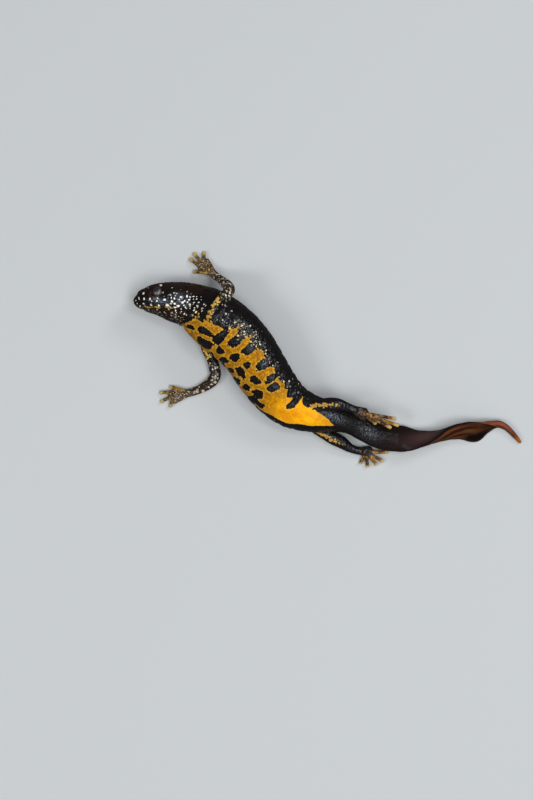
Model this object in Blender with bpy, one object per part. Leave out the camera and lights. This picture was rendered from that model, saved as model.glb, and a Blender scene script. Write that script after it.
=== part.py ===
"""Great crested newt, life size, lying on its right side and back with the belly turned up.

Lengths are millimetres until a mesh is made, which turns them into metres. X runs along the
animal from snout to tail, Y to the side where its back is turned at the head, Z is up, and
the floor is at zero. Angles round the body start at the back: 90 is the animal's left side,
180 its belly and 270 its right side.
"""
import math

import bmesh
import bpy
import numpy as np
from mathutils import Vector

MM = 0.001

# Space between neighbouring nodes, how far a section is pressed into the floor, the reach
# below the middle from which it is pressed that far, and half the span of a direction.
GAP = 0.3
PRESS = 0.22
PRESS_REACH = 2.0
HALF_SPAN = 0.3

# Body stations from snout to tail tip: place of the middle, half width, half depth on the
# back side, half depth on the belly side, roll of the back away from the upright, clearance
# under the skin, and how far the section is drawn out into fins.
STATIONS = [
    (-43.10, 12.45, 0.95, 0.75, 0.80, 90, 4.20, 0.0),
    (-42.50, 12.40, 1.95, 1.45, 1.50, 90, 3.25, 0.0),
    (-41.10, 12.60, 3.05, 2.35, 2.45, 90, 2.15, 0.0),
    (-39.70, 12.65, 3.75, 2.95, 3.05, 90, 1.45, 0.0),
    (-38.00, 12.70, 4.35, 3.50, 3.60, 90, 0.90, 0.0),
    (-36.20, 12.55, 4.85, 3.95, 4.10, 90, 0.40, 0.0),
    (-34.10, 12.10, 5.30, 4.45, 4.55, 90, 0.00, 0.0),
    (-32.00, 11.60, 5.20, 4.90, 4.75, 92, 0.05, 0.0),
    (-29.60, 10.60, 5.35, 5.60, 5.25, 99, 0.00, 0.0),
    (-27.00, 9.10, 6.00, 6.40, 5.95, 112, 0.00, 0.0),
    (-24.20, 7.10, 6.75, 6.70, 6.40, 123, 0.00, 0.0),
    (-21.00, 4.70, 6.90, 6.20, 6.30, 130, 0.00, 0.0),
    (-17.80, 1.30, 6.60, 5.80, 5.95, 138, 0.05, 0.0),
    (-14.70, -3.50, 6.30, 5.40, 5.60, 145, 0.05, 0.0),
    (-11.80, -7.60, 5.80, 5.00, 5.20, 154, 0.00, 0.0),
    (-8.40, -10.80, 5.15, 4.50, 4.70, 162, 0.00, 0.0),
    (-4.00, -12.65, 4.30, 4.00, 4.20, 166, 0.00, 0.0),
    (0.40, -13.40, 3.45, 3.45, 3.70, 160, 0.05, 0.1),
    (4.90, -14.50, 2.80, 3.05, 3.20, 140, 0.15, 0.3),
    (8.90, -16.50, 2.40, 2.95, 3.05, 115, 0.20, 0.5),
    (12.70, -18.05, 2.10, 2.95, 3.00, 98, 0.15, 0.7),
    (16.00, -18.45, 1.80, 3.05, 3.05, 106, 0.10, 0.8),
    (19.30, -18.65, 1.70, 3.15, 3.15, 134, 0.00, 0.9),
    (22.70, -18.25, 1.50, 2.95, 2.95, 162, 0.00, 1.0),
    (25.60, -17.75, 1.30, 2.80, 2.80, 194, 0.00, 1.0),
    (28.40, -17.00, 1.20, 2.75, 2.75, 213, 0.00, 1.0),
    (31.20, -16.75, 1.10, 2.80, 2.80, 228, 0.00, 1.0),
    (33.40, -16.95, 1.00, 2.70, 2.70, 236, 0.00, 1.0),
    (35.10, -16.30, 0.90, 2.05, 2.05, 232, 0.00, 1.0),
    (36.90, -15.55, 0.82, 1.50, 1.50, 224, 0.00, 0.9),
    (38.70, -15.25, 0.70, 1.10, 1.10, 215, 0.00, 0.8),
    (40.30, -15.90, 0.60, 0.92, 0.92, 209, 0.00, 0.6),
    (41.70, -17.15, 0.52, 0.78, 0.78, 205, 0.00, 0.4),
    (42.90, -18.45, 0.44, 0.60, 0.60, 202, 0.00, 0.1),
    (43.60, -19.30, 0.34, 0.40, 0.40, 200, 0.00, 0.0),
]

# Half thickness of a fin, how fast the section thins towards it and how round its edge is.
FIN_HALF = 0.32
FIN_TAPER = 2.2
FIN_ROUND = 0.5

# Nodes of the body: where each begins along X, points round a ring, distance between rings.
BODY_NODES = [
    ("head", -43.10, 36, 0.72),
    ("neck", -32.20, 32, 1.10),
    ("torso_front", -28.20, 30, 1.30),
    ("torso_rear", -17.00, 28, 1.30),
    ("pelvis", -7.60, 26, 1.20),
    ("tail_base", 1.80, 24, 1.25),
    ("tail_middle", 12.60, 20, 1.20),
    ("tail_tip", 27.50, 16, 1.20),
]

# How far each end is rounded off, and how closely the rings crowd together at the snout.
SNOUT_ROUNDING = 0.28
TAIL_ROUNDING = 0.35
SNOUT_CROWDING = 1.35

# Swellings of the skin: distance from the snout, angle round the body, half spans, height.
SWELLINGS = [
    (10.0, 75, 3.2, 32, 0.30),
    (10.0, 285, 3.2, 32, 0.12),
    (5.7, 40, 1.9, 17, 0.28),
    (5.7, 320, 1.9, 17, 0.28),
    (13.0, 180, 0.55, 60, -0.40),
    (4.0, 118, 3.6, 11, 0.16),
    (4.0, 242, 3.6, 11, 0.16),
    (53.6, 180, 2.9, 42, 0.55),
]

# Eyes: radius and place in the head, and how far they look up and ahead.
EYE_RADIUS = 1.32
EYE_ALONG = 5.45
EYE_UP = 1.22
EYE_OUT = 3.15
LOOK_UP = 0.30
LOOK_AHEAD = 0.12

# Lids: a ring round each eye, a little longer than it is high.
LID_RADIUS = 1.52
LID_THICKNESS = 0.42
LID_OUT = 0.42
LID_LONG = 1.08
LID_HIGH = 0.96

NOSTRIL_ALONG = 2.00
NOSTRIL_ANGLE = 62
NOSTRIL_RADIUS = 0.30

# Line of the mouth: its length on each side, width and depth, how far it lies below the
# middle of the snout, how far it bows down from there and where it has done so.
MOUTH_LENGTH = 9.8
MOUTH_WIDTH = 0.32
MOUTH_DEPTH = 0.75
MOUTH_DROP = 0.40
MOUTH_BOW = 0.85
MOUTH_LEVEL = 5.0

# The mouth's cutter: half heights inside and outside as shares of the width, reach outside
# as a share of the depth, steps on each side and how closely they crowd at the snout.
MOUTH_INSIDE = 0.35
MOUTH_OUTSIDE = 0.5
MOUTH_FLARE = 1.2
MOUTH_STEPS = 12
MOUTH_CROWDING = 1.6
MOUTH_AHEAD = 4.0

# Limbs: the middle of the limb from inside the body outwards, with its radius.
ARM_LEFT = [
    (-26.6, 6.8, 9.0, 1.50),
    (-25.7, 8.9, 12.3, 1.42),
    (-23.7, 11.9, 11.8, 1.28),
    (-21.9, 14.4, 8.9, 1.20),
    (-23.2, 16.5, 5.2, 1.10),
    (-25.4, 18.4, 1.9, 0.92),
    (-27.3, 20.3, 0.68, 0.85),
]
ARM_RIGHT = [
    (-27.4, 6.0, 4.2, 1.50),
    (-26.8, 1.6, 2.5, 1.42),
    (-25.6, -1.6, 1.45, 1.26),
    (-25.3, -4.6, 1.15, 1.20),
    (-28.0, -7.0, 1.02, 1.10),
    (-31.2, -8.2, 0.86, 0.92),
    (-33.8, -8.8, 0.70, 0.85),
]
LEG_LEFT = [
    (-5.6, -11.9, 5.0, 1.70),
    (-3.6, -11.1, 6.6, 1.60),
    (-0.6, -10.8, 7.1, 1.50),
    (2.2, -10.8, 7.1, 1.35),
    (3.8, -11.2, 6.9, 1.15),
    (5.4, -11.8, 6.6, 0.98),
    (7.3, -12.6, 6.2, 0.92),
]
LEG_RIGHT = [
    (-4.2, -14.2, 3.6, 1.75),
    (-2.2, -16.0, 2.2, 1.60),
    (0.6, -17.9, 1.45, 1.50),
    (3.4, -19.4, 1.25, 1.32),
    (5.2, -20.6, 1.05, 1.12),
    (7.0, -21.2, 0.88, 0.96),
    (8.8, -21.5, 0.70, 0.90),
]
LIMB_ELBOW = 3
LIMB_WRIST = 5
LIMB_SIDES = 14
LIMB_STEP = 1.0
CLEARANCE_SIDES = 24
CLEARANCE_STEP = 1.6
TUBE_SPAN = 0.1

# Hands and feet: where each digit ends, and how high its middle arches.
DIGITS_ARM_LEFT = [
    (-30.2, 19.2, 0.36, 0.35),
    (-31.1, 22.2, 0.36, 0.75),
    (-30.2, 23.5, 0.36, 0.85),
    (-27.8, 23.8, 0.36, 0.60),
]
DIGITS_ARM_RIGHT = [
    (-35.6, -6.7, 0.36, 0.30),
    (-37.8, -8.1, 0.36, 0.45),
    (-37.6, -10.2, 0.36, 0.45),
    (-35.4, -11.4, 0.36, 0.30),
]
DIGITS_LEG_LEFT = [
    (10.5, -13.3, 5.9, 0.20),
    (10.8, -15.1, 5.0, 0.30),
    (14.2, -16.0, 4.3, 0.30),
    (15.9, -15.5, 3.9, 0.40),
    (15.3, -14.0, 4.2, 0.30),
]
DIGITS_LEG_RIGHT = [
    (13.8, -21.6, 0.36, 0.40),
    (12.8, -23.7, 0.36, 0.45),
    (11.3, -24.5, 0.36, 0.45),
    (9.2, -25.0, 0.36, 0.35),
    (7.5, -24.2, 0.36, 0.25),
]

# Palms and soles: half width and half depth, the way from the wrist to the heel, from the
# last point of the limb to the widest place and to the end, the widths of those three as
# shares of the whole, how much of the limb's slope they keep, points round and ring step.
PALM_WIDTH = 1.35
PALM_DEPTH = 0.82
PALM_HEEL = 0.9
PALM_MIDDLE = 0.1
PALM_REACH = 0.55
PALM_SHARES = (0.86, 1.0, 0.62)
PALM_SLOPE = 0.35
PALM_SIDES = 14
PALM_STEP = 0.55

# Digits: where they start in the palm, radii, how much of the arch the middle keeps, points
# round, number of rings, and how rings crowd and how far they shrink at a round tip.
DIGIT_START = 0.45
DIGIT_ROOT_RADIUS = 0.48
DIGIT_WAIST = 0.92
DIGIT_TIP_RADIUS = 0.42
DIGIT_ARCH = 0.6
DIGIT_SIDES = 8
DIGIT_RINGS = 7
TIP_CROWDING = 0.9
TIP_LEAST = 0.04

# Plain colours and roughness of the nodes, and which colour each kind of node has.
COLOURS = {
    "black_skin": ((0.022, 0.022, 0.024), 0.28),
    "speckled_skin": ((0.060, 0.058, 0.055), 0.30),
    "yellow_skin": ((0.820, 0.390, 0.010), 0.32),
    "tail_skin": ((0.075, 0.055, 0.045), 0.30),
    "eye": ((0.240, 0.130, 0.050), 0.08),
}
SKIN_OF = {
    "head": "speckled_skin",
    "neck": "speckled_skin",
    "torso_front": "black_skin",
    "torso_rear": "yellow_skin",
    "pelvis": "yellow_skin",
    "tail_base": "black_skin",
    "tail_middle": "tail_skin",
    "tail_tip": "tail_skin",
    "eye": "eye",
    "arm": "speckled_skin",
    "leg": "black_skin",
}
SHARP_ANGLE = 50


def through(knots, values, at):
    """Values at given places on the smooth curve through values at rising knots."""
    knots = np.asarray(knots, dtype=float)
    values = np.asarray(values, dtype=float)
    at = np.atleast_1d(np.asarray(at, dtype=float))
    steps = np.diff(knots)
    slopes = np.diff(values, axis=0) / steps[:, None]
    before, after = steps[:-1, None], steps[1:, None]
    middle = (slopes[:-1] * after + slopes[1:] * before) / (before + after)
    tangents = np.vstack([slopes[:1], middle, slopes[-1:]])
    span = np.clip(np.searchsorted(knots, at, side="right") - 1, 0, len(steps) - 1)
    width = steps[span][:, None]
    t = (at - knots[span])[:, None] / width
    return (
        (2 * t**3 - 3 * t**2 + 1) * values[span]
        + (t**3 - 2 * t**2 + t) * width * tangents[span]
        + (3 * t**2 - 2 * t**3) * values[span + 1]
        + (t**3 - t**2) * width * tangents[span + 1]
    )


def along(points):
    """Distance along a chain of points, starting at zero."""
    points = np.asarray(points, dtype=float)
    lengths = np.linalg.norm(np.diff(points, axis=0), axis=1)
    return np.concatenate([[0.0], np.cumsum(lengths)])


def station_table():
    """Stations as rows of x, y, z, half width, depths, roll and fin, with their distances."""
    table = []
    for x, y, wide, back, belly, roll, clearance, fin in STATIONS:
        turn = math.radians(roll)
        low = back if math.cos(turn) < 0 else belly
        reach = math.hypot(wide * math.sin(turn), low * math.cos(turn))
        press = PRESS * min(1.0, reach / PRESS_REACH)
        table.append((x, y, reach - press + clearance, wide, back, belly, roll, fin))
    table = np.array(table)
    return along(table[:, :3]), table


DISTANCES, TABLE = station_table()
LENGTH = DISTANCES[-1]


def body_at(s):
    """Middle, axes and section of the body at distances s from the snout."""
    s = np.atleast_1d(np.asarray(s, dtype=float))
    rows = through(DISTANCES, TABLE, s)
    ahead = through(DISTANCES, TABLE, np.clip(s + HALF_SPAN, 0, LENGTH))[:, :3]
    behind = through(DISTANCES, TABLE, np.clip(s - HALF_SPAN, 0, LENGTH))[:, :3]
    tangent = ahead - behind
    tangent /= np.linalg.norm(tangent, axis=1)[:, None]
    up = np.array([0.0, 0.0, 1.0]) - tangent[:, 2:3] * tangent
    up /= np.linalg.norm(up, axis=1)[:, None]
    side = np.cross(up, tangent)
    turn = np.radians(rows[:, 6])[:, None]
    back = np.cos(turn) * up + np.sin(turn) * side
    left = np.sin(turn) * up - np.cos(turn) * side
    return rows, tangent, back, left


def distance_at_x(x):
    """Distance from the snout of the place where the middle line passes x."""
    samples = np.linspace(0, LENGTH, 2000)
    return float(np.interp(x, through(DISTANCES, TABLE, samples)[:, 0], samples))


def swelling(s, angles):
    """Height of the skin's swellings at distances s, one row each, and angles in degrees."""
    height = np.zeros((len(s), len(angles)))
    for place, angle, half_long, half_round, rise in SWELLINGS:
        far = (s[:, None] - place) / half_long
        off = ((angles[None, :] - angle + 180) % 360 - 180) / half_round
        height += rise * np.exp(-(far**2 + off**2))
    return height


def skin(s, angles, extra=0.0):
    """Skin points at distances s and angles in degrees, a row of points for each s."""
    s = np.atleast_1d(np.asarray(s, dtype=float))
    angles = np.asarray(angles, dtype=float)
    rows, _, back, left = body_at(s)
    sine = np.sin(np.radians(angles))[None, :]
    cosine = np.cos(np.radians(angles))[None, :]
    wide = rows[:, 3:4] + extra
    deep = np.where(cosine > 0, rows[:, 4:5], rows[:, 5:6]) + extra
    fin = np.clip(rows[:, 7:8], 0, 1)
    edge = FIN_HALF + extra
    size = np.abs(sine)
    finned = edge * size**FIN_ROUND + (wide - edge) * size**FIN_TAPER
    out_left = np.sign(sine) * ((1 - fin) * wide * size + fin * finned)
    out_back = deep * cosine
    lean = np.stack([sine / wide, cosine / deep])
    lean /= np.linalg.norm(lean, axis=0)
    rise = swelling(s, angles)
    out_left = out_left + rise * lean[0]
    out_back = out_back + rise * lean[1]
    sideways = out_left[..., None] * left[:, None, :]
    upwards = out_back[..., None] * back[:, None, :]
    points = rows[:, None, :3] + sideways + upwards
    if extra == 0.0:
        points[..., 2] = np.maximum(points[..., 2], 0.0)
    return points


def make_object(name, corners, faces):
    """Closed mesh object from corners in millimetres, turned outwards."""
    mesh = bpy.data.meshes.new(name)
    mesh.from_pydata([tuple(np.asarray(corner) * MM) for corner in corners], [], faces)
    shape = bmesh.new()
    shape.from_mesh(mesh)
    bmesh.ops.recalc_face_normals(shape, faces=shape.faces)
    bmesh.ops.triangulate(shape, faces=shape.faces)
    shape.to_mesh(mesh)
    shape.free()
    item = bpy.data.objects.new(name, mesh)
    bpy.context.scene.collection.objects.link(item)
    return item


def loft(name, rings, start_pole, end_pole):
    """Closed skin over rings of points, with a pole point closing each end."""
    count, sides = rings.shape[:2]
    corners = list(rings.reshape(-1, 3)) + [start_pole, end_pole]
    faces = []
    for ring in range(count - 1):
        for side in range(sides):
            step = (side + 1) % sides
            a, b = ring * sides + side, ring * sides + step
            c, d = b + sides, a + sides
            # The two halves are split opposite ways, so that left and right mirror each other.
            if side < sides / 2:
                faces += [(a, b, c), (a, c, d)]
            else:
                faces += [(a, b, d), (b, c, d)]
    for side in range(sides):
        step = (side + 1) % sides
        faces.append((side, step, count * sides))
        last = (count - 1) * sides
        faces.append((last + step, last + side, count * sides + 1))
    return make_object(name, corners, faces)


def body_piece(name, start, end, sides, step, extra=0.0):
    """Length of the body between two distances, flat at its cuts."""
    count = max(4, round((end - start) / step) + 1)
    spread = np.linspace(0, 1, count)
    if start == 0:
        spread = spread**SNOUT_CROWDING
    s = start + (end - start) * spread
    angles = (np.arange(sides) + 0.5) * 360 / sides
    rings = skin(s, angles, extra)
    middles, tangents = body_at([s[0], s[-1]])[:2]
    first, last = middles[0, :3].copy(), middles[1, :3].copy()
    if start == 0:
        first = first - tangents[0] * (SNOUT_ROUNDING + extra)
    if end >= LENGTH:
        last = last + tangents[1] * (TAIL_ROUNDING + extra)
    return loft(name, rings, first, last)


def cut_distances():
    """Name, first and last distance, ring sides and step of each body node."""
    starts = [0.0] + [distance_at_x(node[1]) for node in BODY_NODES[1:]]
    ends = starts[1:] + [LENGTH]
    spans = []
    for number, (name, _, sides, step) in enumerate(BODY_NODES):
        begin = starts[number] + (GAP / 2 if number else 0)
        finish = ends[number] - (GAP / 2 if number < len(BODY_NODES) - 1 else 0)
        spans.append((name, begin, finish, sides, step))
    return spans


def ball(name, middle, radius, segments=16, rings=11):
    """Sphere standing on its own poles at a point in millimetres."""
    shape = bmesh.new()
    bmesh.ops.create_uvsphere(shape, u_segments=segments, v_segments=rings, radius=radius * MM)
    mesh = bpy.data.meshes.new(name)
    shape.to_mesh(mesh)
    shape.free()
    item = bpy.data.objects.new(name, mesh)
    item.location = Vector(np.asarray(middle) * MM)
    bpy.context.scene.collection.objects.link(item)
    bpy.context.view_layer.update()
    return item


def ring_tube(name, middle, normal, stretch, radius, thickness, sides=20, around=7):
    """Ring of round section about a normal, drawn out along stretch."""
    normal = normal / np.linalg.norm(normal)
    long_way = stretch - normal * np.dot(stretch, normal)
    long_way /= np.linalg.norm(long_way)
    short_way = np.cross(normal, long_way)
    corners = []
    for turn in np.arange(sides) * 2 * math.pi / sides:
        outward = math.cos(turn) * long_way * LID_LONG + math.sin(turn) * short_way * LID_HIGH
        for lap in np.arange(around) * 2 * math.pi / around:
            reach = radius + thickness * math.cos(lap)
            corners.append(middle + outward * reach + normal * thickness * math.sin(lap))
    faces = []
    for turn in range(sides):
        for lap in range(around):
            a = turn * around + lap
            b = turn * around + (lap + 1) % around
            c = (turn + 1) % sides * around + (lap + 1) % around
            d = (turn + 1) % sides * around + lap
            faces.append((a, b, c, d))
    return make_object(name, corners, faces)


def largest_shell(mesh):
    """Keep only the largest closed surface of a mesh."""
    shape = bmesh.new()
    shape.from_mesh(mesh)
    left_over = set(shape.faces)
    shells = []
    while left_over:
        shell = [left_over.pop()]
        for face in shell:
            for edge in face.edges:
                for neighbour in edge.link_faces:
                    if neighbour in left_over:
                        left_over.remove(neighbour)
                        shell.append(neighbour)
        shells.append(shell)
    shells.sort(key=lambda shell: sum(face.calc_area() for face in shell))
    scraps = [face for shell in shells[:-1] for face in shell]
    bmesh.ops.delete(shape, geom=scraps, context="FACES")
    bmesh.ops.triangulate(shape, faces=shape.faces)
    shape.to_mesh(mesh)
    shape.free()


def combine(item, others, operation):
    """Join others to an object, or cut them from it, and remove them."""
    group = bpy.data.collections.new("tools")
    bpy.context.scene.collection.children.link(group)
    for other in others:
        bpy.context.scene.collection.objects.unlink(other)
        group.objects.link(other)
    change = item.modifiers.new("change", "BOOLEAN")
    change.operation = operation
    change.operand_type = "COLLECTION"
    change.collection = group
    change.solver = "EXACT"
    bpy.context.view_layer.update()
    result = item.evaluated_get(bpy.context.evaluated_depsgraph_get())
    mesh = bpy.data.meshes.new_from_object(result)
    item.modifiers.clear()
    item.data = mesh
    for other in others:
        bpy.data.objects.remove(other)
    bpy.data.collections.remove(group)
    largest_shell(item.data)
    return item


def head_place(along_head, up, out):
    """Point at a distance behind the snout, above the middle line and out to the left."""
    rows, _, back, left = body_at(along_head)
    return rows[0, :3] + back[0] * up + left[0] * out


def mouth_cutter():
    """Thin curved slab that follows the lips from one corner of the mouth to the other."""
    samples = MOUTH_LENGTH * np.linspace(1, 0, MOUTH_STEPS) ** MOUTH_CROWDING
    rails = []
    for sign in (1, -1):
        side = []
        for s in samples:
            rows, tangent, back, left = body_at(s)
            drop = MOUTH_DROP + MOUTH_BOW * math.sin(math.pi / 2 * min(1.0, s / MOUTH_LEVEL))
            half = rows[0, 3] * math.sqrt(max(0.0, 1 - (drop / rows[0, 5]) ** 2))
            forward = SNOUT_ROUNDING if s == 0 else 0.0
            sideways = 0.0 if s == 0 else half
            middle = rows[0, :3] - back[0] * drop - tangent[0] * forward
            side.append((middle, left[0] * sign * sideways, tangent[0], back[0]))
        rails.append(side)
    path = rails[0] + rails[1][-2::-1]
    spots = np.array([middle + out for middle, out, tangent, back in path])
    corners = []
    for number, (middle, out, tangent, back) in enumerate(path):
        before, after = spots[max(number - 1, 0)], spots[min(number + 1, len(spots) - 1)]
        outward = np.cross(after - before, back)
        outward /= np.linalg.norm(outward)
        if np.dot(outward, out - MOUTH_AHEAD * tangent) < 0:
            outward = -outward
        inside = [(-1, -MOUTH_INSIDE), (-1, MOUTH_INSIDE)]
        outside = [(1, MOUTH_OUTSIDE), (1, -MOUTH_OUTSIDE)]
        for reach, height in inside + outside:
            depth = MOUTH_DEPTH if reach < 0 else MOUTH_DEPTH * MOUTH_FLARE
            corners.append(spots[number] + outward * reach * depth + back * height * MOUTH_WIDTH)
    faces = []
    for number in range(len(path) - 1):
        for corner in range(4):
            a = number * 4 + corner
            b = number * 4 + (corner + 1) % 4
            faces.append((a, b, b + 4, a + 4))
    last = (len(path) - 1) * 4
    faces += [(0, 1, 2, 3), (last, last + 1, last + 2, last + 3)]
    return make_object("mouth_cutter", corners, faces)


def finish_head(head):
    """Lids, eye sockets, nostrils and the line of the mouth."""
    lids, sockets = [], []
    _, tangent, back, left = body_at(EYE_ALONG)
    for side, sign in (("left", 1), ("right", -1)):
        middle = head_place(EYE_ALONG, EYE_UP, sign * EYE_OUT)
        look = left[0] * sign + back[0] * LOOK_UP - tangent[0] * LOOK_AHEAD
        look /= np.linalg.norm(look)
        lid_at = middle + look * LID_OUT
        lids.append(ring_tube("lid", lid_at, look, tangent[0], LID_RADIUS, LID_THICKNESS))
        sockets.append(ball("socket", middle, EYE_RADIUS + GAP))
    combine(head, lids, "UNION")
    pits = []
    for angle in (NOSTRIL_ANGLE, 360 - NOSTRIL_ANGLE):
        spot = skin([NOSTRIL_ALONG], [angle])[0, 0]
        pits.append(ball("pit", spot, NOSTRIL_RADIUS, segments=8, rings=6))
    combine(head, sockets + pits + [mouth_cutter()], "DIFFERENCE")


def eye(side, sign):
    """Eyeball in its socket."""
    item = ball("eye_" + side, head_place(EYE_ALONG, EYE_UP, sign * EYE_OUT), EYE_RADIUS)
    item.data.transform(item.matrix_world)
    item.location = (0, 0, 0)
    return item


def tube(name, knots, points, radii, start, end, sides, step, flatten=1.0, round_end=False):
    """Round tube along a smooth curve, between two distances along it."""
    count = max(3, round((end - start) / step) + 1)
    spread = np.linspace(0, 1, count)
    if round_end:
        spread = np.sin(spread * math.pi / 2) ** TIP_CROWDING
    places = start + (end - start) * spread
    middles = through(knots, points, places)
    sizes = through(knots, radii[:, None], places)[:, 0]
    if round_end:
        left_to_go = np.clip((end - places) / sizes[-1], 0, 1)
        sizes = sizes * np.sqrt(np.clip(1 - (1 - left_to_go) ** 2, TIP_LEAST, 1))
    ahead = through(knots, points, np.clip(places + TUBE_SPAN, 0, knots[-1]))
    behind = through(knots, points, np.clip(places - TUBE_SPAN, 0, knots[-1]))
    tangents = ahead - behind
    tangents /= np.linalg.norm(tangents, axis=1)[:, None]
    rings = []
    across = np.cross(tangents[0], (0, 0, 1))
    for middle, tangent, size in zip(middles, tangents, sizes):
        across = across - tangent * np.dot(across, tangent)
        across /= np.linalg.norm(across)
        over = np.cross(across, tangent)
        ring = []
        for turn in np.arange(sides) * 2 * math.pi / sides:
            reach = math.cos(turn) * across + math.sin(turn) * over * flatten
            ring.append(middle + reach * size)
        rings.append(ring)
    rings = np.array(rings)
    rings[..., 2] = np.maximum(rings[..., 2], 0.0)
    return loft(name, rings, rings[0].mean(axis=0), rings[-1].mean(axis=0))


def limb_parts(limb):
    """Knots, points and radii of a limb, with the distances of its elbow and wrist."""
    rows = np.array(limb)
    knots = along(rows[:, :3])
    return knots, rows[:, :3], rows[:, 3], knots[LIMB_ELBOW], knots[LIMB_WRIST]


def digit(root, tip):
    """Finger or toe that arches from its root to its tip."""
    x, y, z, arch = tip
    start, end = np.array(root), np.array([x, y, z])
    middle = (start + end) / 2
    middle[2] = max(start[2], z) + arch * DIGIT_ARCH
    points = np.array([start, middle, end])
    knots = along(points)
    radii = np.array([DIGIT_ROOT_RADIUS, DIGIT_ROOT_RADIUS * DIGIT_WAIST, DIGIT_TIP_RADIUS])
    step = knots[-1] / (DIGIT_RINGS - 1)
    return tube("digit", knots, points, radii, 0, knots[-1], DIGIT_SIDES, step, round_end=True)


def hand(name, limb, digits):
    """Palm or sole with its digits in one piece."""
    knots, points, radii = limb_parts(limb)[:3]
    begin = points[-2] + (points[-1] - points[-2]) * (GAP / 2 / (knots[-1] - knots[-2]))
    forward = points[-1] - points[-2]
    forward /= np.linalg.norm(forward)
    level = forward * np.array([1, 1, PALM_SLOPE])
    level /= np.linalg.norm(level)
    heel = begin + forward * PALM_HEEL
    widest = points[-1] + level * PALM_MIDDLE
    path = np.array([begin, heel, widest, points[-1] + level * PALM_REACH])
    path_knots = along(path)
    sizes = np.array([radii[-2]] + [PALM_WIDTH * share for share in PALM_SHARES])
    flatten = PALM_DEPTH / PALM_WIDTH
    palm = tube(name, path_knots, path, sizes, 0, path_knots[-1], PALM_SIDES, PALM_STEP, flatten)
    fingers = []
    for tip in digits:
        towards = np.array(tip[:3]) - points[-1]
        towards /= np.linalg.norm(towards)
        fingers.append(digit(points[-1] + towards * DIGIT_START, tip))
    return combine(palm, fingers, "UNION")


def limb_nodes(kind, names, side, limb, digits):
    """Upper limb, lower limb and hand or foot of one side."""
    knots, points, radii, elbow, wrist = limb_parts(limb)
    upper_name, lower_name, end_name = [name + "_" + side for name in names]
    half = GAP / 2
    upper = tube(upper_name, knots, points, radii, 0, elbow - half, LIMB_SIDES, LIMB_STEP)
    lower = tube(lower_name, knots, points, radii, elbow + half, wrist - half, LIMB_SIDES, LIMB_STEP)
    end = hand(end_name, limb, digits)
    for item in (upper, lower, end):
        clearance = body_piece("clearance", 0, LENGTH, CLEARANCE_SIDES, CLEARANCE_STEP, GAP)
        combine(item, [clearance], "DIFFERENCE")
    return [(upper, kind), (lower, kind), (end, kind)]


def material(name):
    """Plain material with the part's colour and roughness."""
    colour, roughness = COLOURS[name]
    found = bpy.data.materials.get(name) or bpy.data.materials.new(name)
    found.use_nodes = True
    surface = found.node_tree.nodes["Principled BSDF"]
    surface.inputs["Base Color"].default_value = (*colour, 1)
    surface.inputs["Roughness"].default_value = roughness
    surface.inputs["Metallic"].default_value = 0
    return found


def centre(items):
    """Move every mesh so that the whole stands at the origin on the floor."""
    corners = np.array([tuple(vertex.co) for item in items for vertex in item.data.vertices])
    low, high = corners.min(axis=0), corners.max(axis=0)
    shift = Vector((-(low[0] + high[0]) / 2, -(low[1] + high[1]) / 2, -low[2]))
    for item in items:
        for vertex in item.data.vertices:
            vertex.co += shift


def main():
    """Make every node of the newt."""
    for item in list(bpy.data.objects):
        bpy.data.objects.remove(item)
    made = []
    for name, start, end, sides, step in cut_distances():
        made.append((body_piece(name, start, end, sides, step), name))
    finish_head(made[0][0])
    made += [(eye("left", 1), "eye"), (eye("right", -1), "eye")]
    arm_names = ("upper_arm", "forearm", "hand")
    leg_names = ("thigh", "shank", "foot")
    made += limb_nodes("arm", arm_names, "left", ARM_LEFT, DIGITS_ARM_LEFT)
    made += limb_nodes("arm", arm_names, "right", ARM_RIGHT, DIGITS_ARM_RIGHT)
    made += limb_nodes("leg", leg_names, "left", LEG_LEFT, DIGITS_LEG_LEFT)
    made += limb_nodes("leg", leg_names, "right", LEG_RIGHT, DIGITS_LEG_RIGHT)
    newt = bpy.data.collections.new("great_crested_newt")
    bpy.context.scene.collection.children.link(newt)
    for item, kind in made:
        item.data.materials.clear()
        item.data.materials.append(material(SKIN_OF[kind]))
        item.data.shade_smooth()
        item.data.set_sharp_from_angle(angle=math.radians(SHARP_ANGLE))
        bpy.context.scene.collection.objects.unlink(item)
        newt.objects.link(item)
    centre([item for item, kind in made])


main()
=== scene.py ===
"""Looks of a great crested newt, lying on its right side and back on a pale floor.

One skin takes the place of the solids of flesh, and two finished eyes sit in it. Lengths are
millimetres until a mesh is made. Angles round the body start at the back: 90 is the animal's
left side, 180 its belly and 270 its right side.
"""

import math

import bmesh
import bpy
import numpy as np
from mathutils import Matrix, Vector, kdtree, noise

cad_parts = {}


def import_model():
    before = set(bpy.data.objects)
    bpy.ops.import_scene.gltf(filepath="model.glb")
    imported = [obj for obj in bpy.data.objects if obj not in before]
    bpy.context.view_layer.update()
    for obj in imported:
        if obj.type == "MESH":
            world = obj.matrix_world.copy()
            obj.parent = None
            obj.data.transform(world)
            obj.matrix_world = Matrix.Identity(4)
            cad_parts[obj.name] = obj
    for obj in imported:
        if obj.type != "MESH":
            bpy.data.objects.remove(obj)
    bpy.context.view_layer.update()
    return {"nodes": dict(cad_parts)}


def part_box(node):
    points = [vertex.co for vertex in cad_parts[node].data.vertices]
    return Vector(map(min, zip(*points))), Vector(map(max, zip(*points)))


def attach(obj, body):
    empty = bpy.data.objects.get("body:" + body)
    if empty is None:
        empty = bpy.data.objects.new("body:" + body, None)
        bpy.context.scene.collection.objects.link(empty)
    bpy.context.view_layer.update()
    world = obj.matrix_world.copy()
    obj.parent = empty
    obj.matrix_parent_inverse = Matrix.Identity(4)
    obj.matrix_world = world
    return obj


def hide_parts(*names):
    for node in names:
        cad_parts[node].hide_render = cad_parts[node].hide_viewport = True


MM = 0.001

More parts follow.
